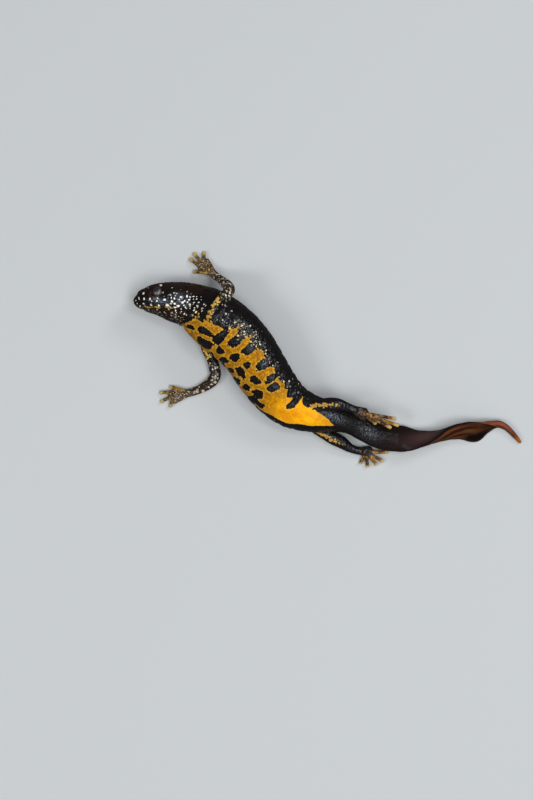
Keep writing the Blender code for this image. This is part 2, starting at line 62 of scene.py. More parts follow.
# How far a section is pressed into the floor, the reach below the middle from which it is
# pressed that far, and half the span that a direction is measured over.
PRESS = 0.22
PRESS_REACH = 2.0
HALF_SPAN = 0.3

# Body stations from snout to tail tip: place of the middle, half width, half depth on the
# back side, half depth on the belly side, roll of the back away from the upright, clearance
# under the skin, and how far the section is drawn out into fins.
STATIONS = [
    (-43.10, 12.45, 0.95, 0.75, 0.80, 90, 4.20, 0.0),
    (-42.50, 12.40, 1.95, 1.45, 1.50, 90, 3.25, 0.0),
    (-41.10, 12.60, 3.05, 2.35, 2.45, 90, 2.15, 0.0),
    (-39.70, 12.65, 3.75, 2.95, 3.05, 90, 1.45, 0.0),
    (-38.00, 12.70, 4.35, 3.50, 3.60, 90, 0.90, 0.0),
    (-36.20, 12.55, 4.85, 3.95, 4.10, 90, 0.40, 0.0),
    (-34.10, 12.10, 5.30, 4.45, 4.55, 90, 0.00, 0.0),
    (-32.00, 11.60, 5.20, 4.90, 4.75, 92, 0.05, 0.0),
    (-29.60, 10.60, 5.35, 5.60, 5.25, 99, 0.00, 0.0),
    (-27.00, 9.10, 6.00, 6.40, 5.95, 112, 0.00, 0.0),
    (-24.20, 7.10, 6.75, 6.70, 6.40, 123, 0.00, 0.0),
    (-21.00, 4.70, 6.90, 6.20, 6.30, 130, 0.00, 0.0),
    (-17.80, 1.30, 6.60, 5.80, 5.95, 138, 0.05, 0.0),
    (-14.70, -3.50, 6.30, 5.40, 5.60, 145, 0.05, 0.0),
    (-11.80, -7.60, 5.80, 5.00, 5.20, 154, 0.00, 0.0),
    (-8.40, -10.80, 5.15, 4.50, 4.70, 162, 0.00, 0.0),
    (-4.00, -12.65, 4.30, 4.00, 4.20, 166, 0.00, 0.0),
    (0.40, -13.40, 3.45, 3.45, 3.70, 160, 0.05, 0.1),
    (4.90, -14.50, 2.80, 3.05, 3.20, 140, 0.15, 0.3),
    (8.90, -16.50, 2.40, 2.95, 3.05, 115, 0.20, 0.5),
    (12.70, -18.05, 2.10, 2.95, 3.00, 98, 0.15, 0.7),
    (16.00, -18.45, 1.80, 3.05, 3.05, 106, 0.10, 0.8),
    (19.30, -18.65, 1.70, 3.15, 3.15, 134, 0.00, 0.9),
    (22.70, -18.25, 1.50, 2.95, 2.95, 162, 0.00, 1.0),
    (25.60, -17.75, 1.30, 2.80, 2.80, 194, 0.00, 1.0),
    (28.40, -17.00, 1.20, 2.75, 2.75, 213, 0.00, 1.0),
    (31.20, -16.75, 1.10, 2.80, 2.80, 228, 0.00, 1.0),
    (33.40, -16.95, 1.00, 2.70, 2.70, 236, 0.00, 1.0),
    (35.10, -16.30, 0.90, 2.05, 2.05, 232, 0.00, 1.0),
    (36.90, -15.55, 0.82, 1.50, 1.50, 224, 0.00, 0.9),
    (38.70, -15.25, 0.70, 1.10, 1.10, 215, 0.00, 0.8),
    (40.30, -15.90, 0.60, 0.92, 0.92, 209, 0.00, 0.6),
    (41.70, -17.15, 0.52, 0.78, 0.78, 205, 0.00, 0.4),
    (42.90, -18.45, 0.44, 0.60, 0.60, 202, 0.00, 0.1),
    (43.60, -19.30, 0.34, 0.40, 0.40, 200, 0.00, 0.0),
]

# Half thickness of a fin, how fast the section thins towards it, and how far each end of the
# body is rounded off.
FIN_HALF = 0.32
FIN_TAPER = 2.2
SNOUT_ROUNDING = 0.28
TAIL_ROUNDING = 0.35

# Swellings of the skin: distance from the snout, angle round the body, half spans, height.
SWELLINGS = [
    (10.0, 75, 3.2, 32, 0.30),
    (10.0, 285, 3.2, 32, 0.12),
    (5.7, 40, 1.9, 17, 0.28),
    (5.7, 320, 1.9, 17, 0.28),
    (13.0, 180, 0.55, 60, -0.40),
    (4.0, 118, 3.6, 11, 0.16),
    (4.0, 242, 3.6, 11, 0.16),
    (53.6, 180, 2.9, 42, 0.55),
]

# Eyes: radius and place in the head, how far they look up and ahead, half the opening between
# the lids, how thick the lids are, how far the cornea rises and from where to where it does,
# steps from pole to pole and points round them.
EYE_RADIUS = 1.32
EYE_ALONG = 5.45
EYE_UP = 1.22
EYE_OUT = 3.15
LOOK_UP = 0.30
LOOK_AHEAD = 0.12
EYE_OPENING = 1.20
LID_THICKNESS = 0.14
CORNEA_RISE = 0.045
CORNEA_EDGE = (0.62, 0.95)
EYE_STEPS = 40
EYE_SIDES = 64

# Lids: from where to where they run out, how softly they join the head, how the opening is
# drawn out, height of the rim, depth of the skin behind the eye, height and radius of the fold.
LID_REACH = (1.5, 2.4)
LID_SOFTNESS = 0.30
OPENING_LONG = 0.94
OPENING_HIGH = 1.04
LID_RIM = 0.09
SOCKET_DEPTH = 0.35
LID_FOLD = 0.11
LID_FOLD_RADIUS = 1.98

# Nostrils: distance from the snout and angle round it.
NOSTRIL_ALONG = 2.00
NOSTRIL_ANGLE = 62

# Line of the mouth: its length, how far it lies below the middle of the snout, how far it bows
# down from there and where it has done so.
MOUTH_LENGTH = 9.8
MOUTH_DROP = 0.40
MOUTH_BOW = 0.85
MOUTH_LEVEL = 5.0

# Grooves and ridges: place across the line, half width and height.
LIPS = [(0.0, 0.11, -0.24), (0.34, 0.24, 0.12), (-0.36, 0.22, 0.05)]
NOSTRIL_RIM = [(0.0, 0.16, -0.20), (0.32, 0.14, 0.06)]
THROAT_FOLDS = [(13.0, 0.22, -0.16), (11.6, 0.16, -0.056)]
CHEEK_FOLD = [(14.6, 0.35, -0.10)]
KNUCKLES = [(0.55, 0.06, -0.06), (0.80, 0.07, -0.10)]

# Limbs: the middle of the limb from inside the body outwards, with its radius.
ARM_LEFT = [
    (-26.6, 6.8, 9.0, 1.50),
    (-25.7, 8.9, 12.3, 1.42),
    (-23.7, 11.9, 11.8, 1.28),
    (-21.9, 14.4, 8.9, 1.20),
    (-23.2, 16.5, 5.2, 1.10),
    (-25.4, 18.4, 1.9, 0.92),
    (-27.3, 20.3, 0.68, 0.85),
]
ARM_RIGHT = [
    (-27.4, 6.0, 4.2, 1.50),
    (-26.8, 1.6, 2.5, 1.42),
    (-25.6, -1.6, 1.45, 1.26),
    (-25.3, -4.6, 1.15, 1.20),
    (-28.0, -7.0, 1.02, 1.10),
    (-31.2, -8.2, 0.86, 0.92),
    (-33.8, -8.8, 0.70, 0.85),
]
LEG_LEFT = [
    (-5.6, -11.9, 5.0, 1.70),
    (-3.6, -11.1, 6.6, 1.60),
    (-0.6, -10.8, 7.1, 1.50),
    (2.2, -10.8, 7.1, 1.35),
    (3.8, -11.2, 6.9, 1.15),
    (5.4, -11.8, 6.6, 0.98),
    (7.3, -12.6, 6.2, 0.92),
]
LEG_RIGHT = [
    (-4.2, -14.2, 3.6, 1.75),
    (-2.2, -16.0, 2.2, 1.60),
    (0.6, -17.9, 1.45, 1.50),
    (3.4, -19.4, 1.25, 1.32),
    (5.2, -20.6, 1.05, 1.12),
    (7.0, -21.2, 0.88, 0.96),
    (8.8, -21.5, 0.70, 0.90),
]

# Hands and feet: where each digit ends, and how high its middle arches.
DIGITS_ARM_LEFT = [
    (-30.2, 19.2, 0.36, 0.35),
    (-31.1, 22.2, 0.36, 0.75),
    (-30.2, 23.5, 0.36, 0.85),
    (-27.8, 23.8, 0.36, 0.60),
]
DIGITS_ARM_RIGHT = [
    (-35.6, -6.7, 0.36, 0.30),
    (-37.8, -8.1, 0.36, 0.45),
    (-37.6, -10.2, 0.36, 0.45),
    (-35.4, -11.4, 0.36, 0.30),
]
DIGITS_LEG_LEFT = [
    (10.5, -13.3, 5.9, 0.20),
    (10.8, -15.1, 5.0, 0.30),
    (14.2, -16.0, 4.3, 0.30),
    (15.9, -15.5, 3.9, 0.40),
    (15.3, -14.0, 4.2, 0.30),
]
DIGITS_LEG_RIGHT = [
    (13.8, -21.6, 0.36, 0.40),
    (12.8, -23.7, 0.36, 0.45),
    (11.3, -24.5, 0.36, 0.45),
    (9.2, -25.0, 0.36, 0.35),
    (7.5, -24.2, 0.36, 0.25),
]

# Where the fingers leave the palm: distance in front of it and out to the thumb's side.
HAND_ROOTS = [(-1.6, 0.75), (0.85, 1.00), (1.35, 0.05), (1.30, -0.80)]

# Palms and soles: half width, how much wider a hand is, flatness, how much of the limb's
# slope they keep, how far the limb runs into them, and how far a hand and a foot reach past
# the last point of the limb.
PALM_WIDTH = 1.35
HAND_BREADTH = 1.16
PALM_FLATNESS = 0.56
PALM_SLOPE = 0.35
PALM_OVERLAP = 0.8
HAND_REACH = 2.15
FOOT_REACH = 1.75

# Digits: radii from root to tip, rise of the knuckle and how much of the arch they keep.
DIGIT_RADII = np.array([0.44, 0.47, 0.37, 0.45])
KNUCKLE_RISE = 0.12
DIGIT_ARCH = 0.45

# Distances between the rings of limbs, palms and digits, half the span that their direction
# is measured over, and how rings crowd and how far they shrink at a round tip.
LIMB_STEP = 0.26
PALM_STEP = 0.20
DIGIT_STEP = 0.16
TUBE_SPAN = 0.1
TIP_CROWDING = 0.9
TIP_LEAST = 0.01

# Each limb with its number in the markings, its middle line and its digits.
LIMBS = {
    "arm_left": (1, ARM_LEFT, DIGITS_ARM_LEFT),
    "arm_right": (2, ARM_RIGHT, DIGITS_ARM_RIGHT),
    "leg_left": (3, LEG_LEFT, DIGITS_LEG_LEFT),
    "leg_right": (4, LEG_RIGHT, DIGITS_LEG_RIGHT),
}

# Points round a ring of the body, of a limb and of a digit.
BODY_SIDES = 168
LIMB_SIDES = 30
DIGIT_SIDES = 14

# Distances between the body's rings: at the snout, what the head adds over its first stretch
# and what the trunk adds, how far from the tail's tip they stop, and how far the points of
# a ring crowd at back, belly and sides.
SNOUT_STEP = 0.07
HEAD_STEP = 0.09
HEAD_STRETCH = 1.5
TRUNK_STEP = 0.14
LAST_GAP = 0.12
RING_CROWDING = 0.16

# Costal grooves: where they start and end along the body, and how far apart they are.
COSTAL_START = 21.5
COSTAL_END = 50.0
COSTAL_STEP = 2.55

# Warts and the softer lumps between them: how far apart they are and how high.
WART_SPAN = 0.95
WART_HEIGHT = 0.075
LUMP_SPAN = 2.6
LUMP_HEIGHT = 0.05

# How often the edges beside a join are softened, and by how much each time.
SOFTEN_LAPS = 26
SOFTEN_SHARE = 0.6

# Edge of the yellow belly on the animal's left and right: distance from the snout, angle.
YELLOW_LEFT = [
    (12.3, 178), (12.6, 170), (13.0, 160), (13.6, 153), (14.4, 149), (15.3, 146), (16.0, 141),
    (16.6, 138), (17.2, 134), (17.9, 134), (18.4, 137), (19.0, 139), (19.3, 131), (19.5, 127),
    (20.0, 129), (20.3, 133), (21.0, 132), (21.8, 131), (22.6, 128), (23.2, 124), (23.9, 120),
    (24.6, 122), (25.2, 127), (26.3, 125), (26.9, 121), (27.5, 123), (28.0, 126), (29.4, 124),
    (30.2, 120), (31.6, 120), (32.3, 124), (33.6, 126), (34.3, 124), (35.2, 124), (35.8, 127),
    (37.4, 130), (38.6, 131), (39.8, 130), (40.3, 140), (40.7, 138), (41.0, 133), (41.3, 139),
    (41.8, 148), (42.3, 151), (42.7, 150), (43.2, 144), (43.6, 146), (44.4, 150), (45.2, 148),
    (45.6, 139), (45.9, 134), (46.2, 143), (46.7, 149), (47.4, 153), (48.2, 154), (48.7, 149),
    (49.0, 147), (49.6, 151), (50.3, 157), (51.0, 160), (52.0, 165), (53.0, 170), (54.0, 177),
    (54.9, 184),
]
YELLOW_RIGHT = [
    (12.3, 180), (13.2, 192), (14.6, 207), (16.2, 219), (18.0, 224), (19.8, 232), (21.4, 228),
    (24.0, 233), (26.0, 228), (28.0, 236), (31.0, 242), (34.0, 236), (36.5, 236), (39.0, 230),
    (41.0, 226), (43.0, 216), (45.5, 218), (47.5, 208), (50.0, 206), (52.5, 197), (54.0, 191),
    (54.9, 184),
]

# Black blotches on the belly: distance from the snout, angle, half length along the body, half
# length round it, turn in degrees, and how far they are from black.
BLOTCHES = [
    (16.5, 157, 1.20, 0.62, 0, 0.0),
    (19.9, 154, 1.30, 0.80, -4, 0.0),
    (22.45, 148, 0.80, 2.50, 5, 0.0),
    (20.7, 183, 1.50, 1.70, -14, 0.0),
    (25.5, 139, 0.95, 2.20, 2, 0.0),
    (25.7, 122, 0.70, 0.75, 0, 0.5),
    (28.75, 135, 1.03, 2.05, 0, 0.0),
    (33.3, 133, 1.04, 1.95, 0, 0.0),
    (36.65, 140, 0.72, 1.75, 0, 0.0),
    (38.6, 152.5, 0.94, 1.36, 2, 0.0),
    (44.25, 158, 0.83, 1.45, 8, 0.0),
    (44.95, 147, 0.52, 0.85, 0, 0.0),
    (24.4, 178, 1.20, 0.95, 24, 0.0),
    (28.2, 171, 1.05, 1.25, -12, 0.0),
    (31.6, 163, 0.70, 0.80, 0, 0.0),
    (32.2, 186, 1.50, 1.00, 10, 0.0),
    (35.2, 171, 1.10, 0.85, -20, 0.0),
    (37.9, 189, 1.10, 1.05, 16, 0.0),
    (26.9, 199, 1.05, 1.50, 10, 0.0),
    (39.9, 212, 0.90, 1.00, 0, 0.0),
    (17.2, 202, 1.10, 0.85, 20, 0.0),
    (19.2, 219, 0.70, 1.40, 0, 0.0),
    (23.3, 216, 0.85, 2.20, -6, 0.0),
    (28.0, 226, 0.90, 2.00, -8, 0.0),
    (30.6, 209, 0.95, 1.20, 15, 0.0),
    (33.6, 223, 0.95, 2.10, -6, 0.0),
    (35.6, 204, 0.80, 1.20, 0, 0.0),
    (38.3, 220, 0.84, 2.00, 6, 0.0),
]

# Yellow that reaches into the black flank: distance, angle, half lengths, turn.
SPIKES = [
    (16.85, 128, 0.30, 1.30, 12),
    (19.35, 118, 0.42, 1.40, 3),
    (23.95, 119, 0.32, 0.60, 0),
    (26.95, 120, 0.30, 0.60, 0),
    (45.85, 139, 0.22, 0.90, 6),
    (50.3, 133, 1.80, 0.42, -23),
]

# Golden rim of the lower lip: distance from the snout, angle.
LIP_RIM = [
    (1.4, 143), (2.2, 137), (2.8, 132), (3.5, 128), (4.2, 125), (5.0, 123), (6.0, 121.5),
    (7.0, 119), (8.0, 113), (9.0, 110), (9.8, 106),
]

# Cream spots on the left of the head: distance from the snout, angle, radius, drawn out along
# the body or round it, and how yellow they are.
HEAD_SPOTS = [
    (3.4, 41, 0.16, 0.5, 0.0), (5.9, 43, 0.30, 0.7, 0.0), (6.4, 71, 0.28, 1.3, 0.0),
    (2.3, 63, 0.28, 0.8, 0.3), (1.3, 84, 0.25, 0.3, 0.2), (2.4, 92, 0.27, 0.4, 0.0),
    (3.9, 94, 0.30, 0.5, 0.0), (4.3, 101, 0.18, 0.8, 0.0), (5.5, 91, 0.19, 0.8, 0.0),
    (5.4, 101, 0.22, 0.6, 0.0), (7.3, 94, 0.36, 1.5, 0.0), (0.4, 96, 0.17, 0.8, 0.0),
    (0.6, 121, 0.16, 0.8, 0.1), (2.2, 116, 0.24, 1.5, 0.3), (4.1, 116, 0.28, 0.8, 0.4),
    (5.9, 115, 0.29, 1.0, 0.4), (8.1, 107, 0.40, 1.2, 0.3), (7.9, 79, 0.13, 1.0, 0.0),
    (8.3, 77, 0.20, 0.9, 0.0), (8.9, 70, 0.19, 1.0, 0.0), (9.4, 70, 0.20, 1.1, 0.0),
    (8.6, 84, 0.20, 0.7, 0.0), (9.2, 85, 0.24, 0.7, 0.0), (8.9, 94, 0.24, 0.7, 0.0),
    (9.4, 98, 0.24, 0.8, 0.0), (10.4, 79, 0.28, 1.2, 0.0), (9.3, 78, 0.14, 1.0, 0.0),
    (10.1, 86, 0.16, 0.8, 0.0), (10.4, 90, 0.15, 1.0, 0.0), (11.6, 75, 0.25, 0.7, 0.0),
    (12.3, 76, 0.22, 1.2, 0.0), (12.4, 83, 0.25, 1.6, 0.0), (13.1, 74, 0.24, 1.4, 0.0),
    (11.1, 92, 0.34, 1.6, 0.1), (11.5, 88, 0.20, 1.0, 0.0), (12.2, 90, 0.17, 1.0, 0.0),
    (13.1, 95, 0.30, 1.5, 0.1), (10.2, 103, 0.34, 1.2, 0.1), (8.8, 100, 0.20, 1.0, 0.1),
    (11.7, 99, 0.22, 1.3, 0.0), (12.2, 103, 0.22, 1.0, 0.0), (12.6, 106, 0.18, 1.0, 0.1),
    (13.5, 100, 0.22, 1.4, 0.0), (14.0, 106, 0.24, 1.5, 0.1), (14.6, 92, 0.26, 1.6, 0.0),
    (14.6, 83, 0.22, 1.4, 0.0), (13.5, 82, 0.18, 1.0, 0.0), (14.6, 97, 0.20, 1.3, 0.0),
    (15.9, 102, 0.24, 1.2, 0.0), (15.8, 86, 0.15, 1.0, 0.0), (15.8, 94, 0.18, 1.0, 0.0),
    (16.8, 97, 0.20, 0.8, 0.0), (17.0, 106, 0.22, 0.7, 0.0), (17.4, 100, 0.18, 0.8, 0.0),
    (17.4, 113, 0.20, 0.8, 0.0), (15.6, 108, 0.18, 1.2, 0.1), (15.8, 114, 0.24, 0.7, 0.4),
    (16.4, 118, 0.26, 0.6, 0.6), (16.2, 106, 0.20, 0.7, 0.2), (9.6, 108, 0.26, 1.5, 0.4),
    (9.0, 112, 0.20, 1.3, 0.7), (9.8, 117, 0.22, 0.7, 0.1), (11.3, 109, 0.22, 1.4, 0.3),
    (11.5, 116, 0.24, 1.4, 0.2), (12.6, 122, 0.34, 1.3, 0.2), (13.6, 124, 0.26, 1.7, 0.2),
    (11.4, 122, 0.18, 1.0, 0.1), (9.3, 124, 0.16, 0.8, 0.1), (10.1, 123, 0.15, 0.8, 0.1),
    (8.6, 118, 0.16, 1.0, 0.4), (11.0, 134, 0.22, 1.5, 0.1), (10.2, 134, 0.17, 0.8, 0.1),
    (9.2, 136, 0.18, 0.8, 0.1), (7.6, 133, 0.22, 0.6, 0.1), (6.2, 141, 0.18, 0.6, 0.1),
    (5.4, 134, 0.15, 0.6, 0.1), (1.1, 140, 0.20, 0.8, 0.2), (7.0, 84, 0.12, 1.0, 0.0),
    (8.2, 52, 0.14, 1.0, 0.0), (11.3, 62, 0.18, 1.2, 0.0), (12.3, 66, 0.16, 1.2, 0.0),
    (9.9, 58, 0.12, 1.0, 0.0), (14.2, 76, 0.16, 1.4, 0.0), (15.4, 78, 0.12, 1.0, 0.0),
]

# The far side of the tail's tip, where its belly edge turns over: distance, angle.
TURNED_EDGE = [
    (84.0, 182), (86.1, 187), (89.4, 196), (91.5, 232), (92.4, 258), (93.4, 285), (94.5, 300),
    (95.7, 305), (97.2, 302), (98.3, 280), (99.3, 260),
]

# Soft oval patches: distance, angle, half length along the body, half length round it, strength.
WET_PATCHES = [
    (6.4, 99, 3.0, 11, 1.00),
    (10.4, 82, 3.6, 20, 0.62),
    (54.2, 151, 2.4, 18, 1.00),
    (63.6, 114, 2.0, 26, 0.55),
    (63.4, 162, 2.6, 9, 0.25),
]
# Painted bluish sheen on the cheek and upper lip: distance, angle, half lengths and strength.
PAINTED_SHEEN_PATCHES = [(6.2, 99, 1.9, 8, 0.85), (9.6, 75, 1.0, 9, 0.70)]
# Painted highlights on the wet creases of the tail base and pelvis: distance, angle, half lengths
# and strength.
PAINTED_GLINT_PATCHES = [(63.0, 112, 2.4, 30, 0.9), (55.0, 148, 2.4, 14, 0.8)]
# Painted shade where the tail's fin curls under at the tip: distance, angle, half lengths and
# strength.
FOLD_SHADE_PATCHES = [(88.0, 294, 2.5, 38, 1.35)]
DUSKY_PATCHES = [(78.0, 112, 5.5, 42, 1.0)]

# Roundness of the blotches' outlines: 2 is an ellipse, more is squarer.
BLOTCH_POWER = 2.5

# Noises and cells of the skin, counted to a metre.
BACK_SPOTS = 330
CLOUDS = 420
BROAD = 1100
LUMPS = 1350
MOTTLE = 1500
DOTS = 1500
GRAIN = 1900
WARTS = 2300
STIR = 2600
SMALL_DOTS = 3100
FINE = 3400
TAN_DOTS = 4200
GRIT = 5200

# How far the dots' outlines are stirred and how deep the bumps are, in metres.
STIRRED = 0.00042
BUMP_DEPTH = 0.00014
BUMP_STRENGTH = 0.75

# Camera: the picture's sides in pixels, pixels to a millimetre, the pixel over the origin, the
# camera's height, the height at which that scale is true, and the width of its sensor.
FRAME_LONG = 800
FRAME_SHORT = 533
PIXELS_PER_MM = 4.5
ORIGIN_PIXEL = (328.0, 356.0)
CAMERA_HEIGHT = 346.0
FOCUS_HEIGHT = 6.0
SENSOR = 36.0

# Colours of the floor, of the surround and far floor, and of the light from all round.
FLOOR_TONE = (0.42, 0.42, 0.41)
SURROUND = (0.52, 0.55, 0.57)
SKY_TONE = (0.88, 0.92, 1.0)
SKY_STRENGTH = 0.07

# Lights: name, place and size in metres, power and tint.
COOL = (0.90, 0.95, 1.0)
LIGHTS = [
    ("sky", (0.20, -0.22, 0.72), 0.28, 2.9, COOL),
    ("high", (0.27, 0.08, 0.68), 0.18, 1.3, COOL),
    ("side", (-0.45, -0.165, 0.51), 0.22, 1.9, COOL),
    ("fill", (0, 0, 1.5), 2.4, 13.0, (0.92, 0.96, 1.0)),
    ("front", (0.20, -0.60, 0.34), 0.34, 0.5, (1.0, 0.95, 0.88)),
    ("far_side", (0.41, 0.37, 0.463), 0.20, 1.6, COOL),
]

# Half the width of the floor, and how far from the newt it fades into the surround, in metres.
FLOOR_HALF = 1.5
FLOOR_FADE = (0.20, 0.60)


def through(knots, values, at):
    """Values at given places on the smooth curve through values at rising knots."""
    knots = np.asarray(knots, dtype=float)
    values = np.asarray(values, dtype=float)
    at = np.atleast_1d(np.asarray(at, dtype=float))
    steps = np.diff(knots)
    slopes = np.diff(values, axis=0) / steps[:, None]
    before, after = steps[:-1, None], steps[1:, None]
    middle = (slopes[:-1] * after + slopes[1:] * before) / (before + after)
    tangents = np.vstack([slopes[:1], middle, slopes[-1:]])
    part = np.clip(np.searchsorted(knots, at, side="right") - 1, 0, len(steps) - 1)
    width = steps[part][:, None]
    t = (at - knots[part])[:, None] / width
    return (
        (2 * t**3 - 3 * t**2 + 1) * values[part]
        + (t**3 - 2 * t**2 + t) * width * tangents[part]
        + (3 * t**2 - 2 * t**3) * values[part + 1]
        + (t**3 - t**2) * width * tangents[part + 1]
    )


def along(points):
    """Distance along a chain of points, starting at zero."""
    points = np.asarray(points, dtype=float)
    lengths = np.linalg.norm(np.diff(points, axis=0), axis=1)
    return np.concatenate([[0.0], np.cumsum(lengths)])


def station_table():
    """Stations as rows of x, y, z, half width, depths, roll and fin, with their distances."""
    table = []
    for x, y, wide, back, belly, roll, clearance, fin in STATIONS:
        turn = math.radians(roll)
        low = back if math.cos(turn) < 0 else belly
        reach = math.hypot(wide * math.sin(turn), low * math.cos(turn))
        press = PRESS * min(1.0, reach / PRESS_REACH)
        table.append((x, y, reach - press + clearance, wide, back, belly, roll, fin))
    table = np.array(table)
    return along(table[:, :3]), table


DISTANCES, TABLE = station_table()
LENGTH = DISTANCES[-1]


def ease(low, high, value):
    """Smooth step from 0 at low to 1 at high."""
    t = np.clip((value - low) / (high - low), 0, 1)
    return t * t * (3 - 2 * t)


def bell(value, half):
    """Bell curve of half width half about zero."""
    return np.exp(-((value / half) ** 2))


def span(value, start, full, fading, end):
    """Smooth rise from start to full and fall from fading to end."""
    return ease(start, full, value) * (1 - ease(fading, end, value))


def profile(value, rows):
    """Sum of bells across a line, from place, half width and height of each."""
    return sum(height * bell(value - place, half) for place, half, height in rows)


def signed(angle):
    """Angle in degrees, turned to between -180 and 180."""
    return (angle + 180) % 360 - 180


def patches(s, angle, rows):
    """Sum of soft oval patches at distances s and angles."""
    total = np.zeros(len(s))
    for place, middle, half_long, half_round, strength in rows:
        total += strength * bell(s - place, half_long) * bell(angle - middle, half_round)
    return total


def body_at(s):
    """Middle, axes and section of the body at distances s from the snout."""
    s = np.atleast_1d(np.asarray(s, dtype=float))
    rows = through(DISTANCES, TABLE, s)
    ahead = through(DISTANCES, TABLE, np.clip(s + HALF_SPAN, 0, LENGTH))[:, :3]
    behind = through(DISTANCES, TABLE, np.clip(s - HALF_SPAN, 0, LENGTH))[:, :3]
    tangent = ahead - behind
    tangent /= np.linalg.norm(tangent, axis=1)[:, None]
    up = np.array([0.0, 0.0, 1.0]) - tangent[:, 2:3] * tangent
    up /= np.linalg.norm(up, axis=1)[:, None]
    side = np.cross(up, tangent)
    turn = np.radians(rows[:, 6])[:, None]
    back = np.cos(turn) * up + np.sin(turn) * side
    left = np.sin(turn) * up - np.cos(turn) * side
    return rows, tangent, back, left


def swelling(s, angles):
    """Height of the skin's swellings at distances s, one row each, and angles in degrees."""
    height = np.zeros((len(s), len(angles)))
    for place, angle, half_long, half_round, rise in SWELLINGS:
        far = (s[:, None] - place) / half_long
        off = signed(angles[None, :] - angle) / half_round
        height += rise * np.exp(-(far**2 + off**2))
    return height


def skin(s, angles):
    """Skin points at distances s and angles in degrees, a row of points for each s."""
    rows, _, back, left = body_at(s)
    sine = np.sin(np.radians(angles))[None, :]
    cosine = np.cos(np.radians(angles))[None, :]
    wide = rows[:, 3:4]
    deep = np.where(cosine > 0, rows[:, 4:5], rows[:, 5:6])
    fin = np.clip(rows[:, 7:8], 0, 1)
    size = np.abs(sine)
    finned = FIN_HALF * size**0.5 + (wide - FIN_HALF) * size**FIN_TAPER
    out_left = np.sign(sine) * ((1 - fin) * wide * size + fin * finned)
    out_back = deep * cosine
    lean = np.stack([sine / wide, cosine / deep])
    lean /= np.linalg.norm(lean, axis=0)
    rise = swelling(s, angles)
    out_left = out_left + rise * lean[0]
    out_back = out_back + rise * lean[1]
    waves = span(s, 60, 72, 92, 98) * (0.10 * np.sin(s * 0.9) + 0.05 * np.sin(s * 2.3 + 1.0))
    out_left = out_left + waves[:, None] * np.clip(np.abs(cosine), 0, 1) ** 3 * np.sign(cosine)
    sideways = out_left[..., None] * left[:, None, :]
    return rows[:, None, :3] + sideways + out_back[..., None] * back[:, None, :]


def grid_normals(points):
    """Outward normals of a grid of points closed round its second axis."""
    down = np.gradient(points, axis=0)
    across = np.roll(points, -1, axis=1) - np.roll(points, 1, axis=1)
    normals = np.cross(across, down)
    normals /= np.maximum(np.linalg.norm(normals, axis=2), 1e-9)[..., None]
    middles = points.mean(axis=1, keepdims=True)
    return -normals if ((points - middles) * normals).sum() < 0 else normals


def head_place(along_head, up, out):
    """Point at a distance behind the snout, above the middle line and out to the left."""
    rows, _, back, left = body_at(along_head)
    return rows[0, :3] + back[0] * up + left[0] * out


def eye_frame(sign):
    """Middle of one eye, the way it looks and the way across it that leads to the tail."""
    _, tangent, back, left = body_at(EYE_ALONG)
    look = left[0] * sign + back[0] * LOOK_UP - tangent[0] * LOOK_AHEAD
    look /= np.linalg.norm(look)
    across = tangent[0] - look * np.dot(tangent[0], look)
    across /= np.linalg.norm(across)
    return head_place(EYE_ALONG, EYE_UP, sign * EYE_OUT), look, across


def shape_eyelids(points):
    """Raise lids over both eyeballs and sink the skin inside the opening."""
    for sign in (1, -1):
        middle, look, across = eye_frame(sign)
        offset = points - middle
        height = offset @ look
        x, y = offset @ across, offset @ np.cross(look, across)
        rho = np.hypot(x, y)
        outside = height > 0.05
        near = (1 - ease(*LID_REACH, rho)) * outside
        shell = np.sqrt(np.clip((EYE_RADIUS + LID_THICKNESS) ** 2 - rho**2, 0, None))
        swell = np.clip(0.5 + 0.5 * (shell - height) / LID_SOFTNESS, 0, 1)
        raised = height * (1 - swell) + shell * swell + LID_SOFTNESS * swell * (1 - swell)
        lifted = height + (raised - height) * near
        opening = np.hypot(x * OPENING_LONG, y * OPENING_HIGH)
        inside = (1 - ease(EYE_OPENING - 0.10, EYE_OPENING + 0.05, opening)) * outside
        ball = np.sqrt(np.clip(EYE_RADIUS**2 - rho**2, 0, None))
        rim = LID_RIM * bell(opening - EYE_OPENING - 0.13, 0.11) * outside
        lifted = (lifted + rim) * (1 - inside) + (ball - SOCKET_DEPTH) * inside
        fold = LID_FOLD * bell(rho - LID_FOLD_RADIUS, 0.17) * near
        points = points + ((lifted - height - fold)[..., None]) * look
    return points


def shape_head(s, angles, points):
    """Lips, nostrils, throat fold and cheek folds, as moves along the skin's normals."""
    rows, _, back, left = body_at(s)
    offset = points - rows[:, None, :3]
    high = (offset * back[:, None, :]).sum(axis=2)
    sideways = np.abs((offset * left[:, None, :]).sum(axis=2))
    drop = MOUTH_DROP + MOUTH_BOW * np.sin(math.pi / 2 * np.clip(s[:, None] / MOUTH_LEVEL, 0, 1))
    above = high + drop
    lips = profile(above, LIPS) - 0.09 * ease(0, -0.25, above) * (1 - ease(-0.5, -1.3, above))
    reach = 1 - ease(MOUTH_LENGTH - 0.6, MOUTH_LENGTH + 0.5, s)[:, None]
    move = lips * reach * (high < 0.6) * ease(0.2, 0.8, sideways)
    for angle in (NOSTRIL_ANGLE, 360 - NOSTRIL_ANGLE):
        spot = skin(np.array([NOSTRIL_ALONG]), np.array([angle], dtype=float))[0, 0]
        far = np.linalg.norm(points - spot, axis=2)
        move = move + profile(far, NOSTRIL_RIM)
    throat = 1 - ease(58, 78, np.abs(angles - 180)[None, :])
    move = move + profile(s, THROAT_FOLDS)[:, None] * throat
    sides = (bell(signed(angles - 90), 34) + bell(signed(angles - 270), 34))[None, :]
    move = move + profile(s, CHEEK_FOLD)[:, None] * sides
    return points + grid_normals(points) * move[..., None]


def phase_in(count):
    """Distance from the nearest whole number."""
    return (count + 0.5) % 1 - 0.5


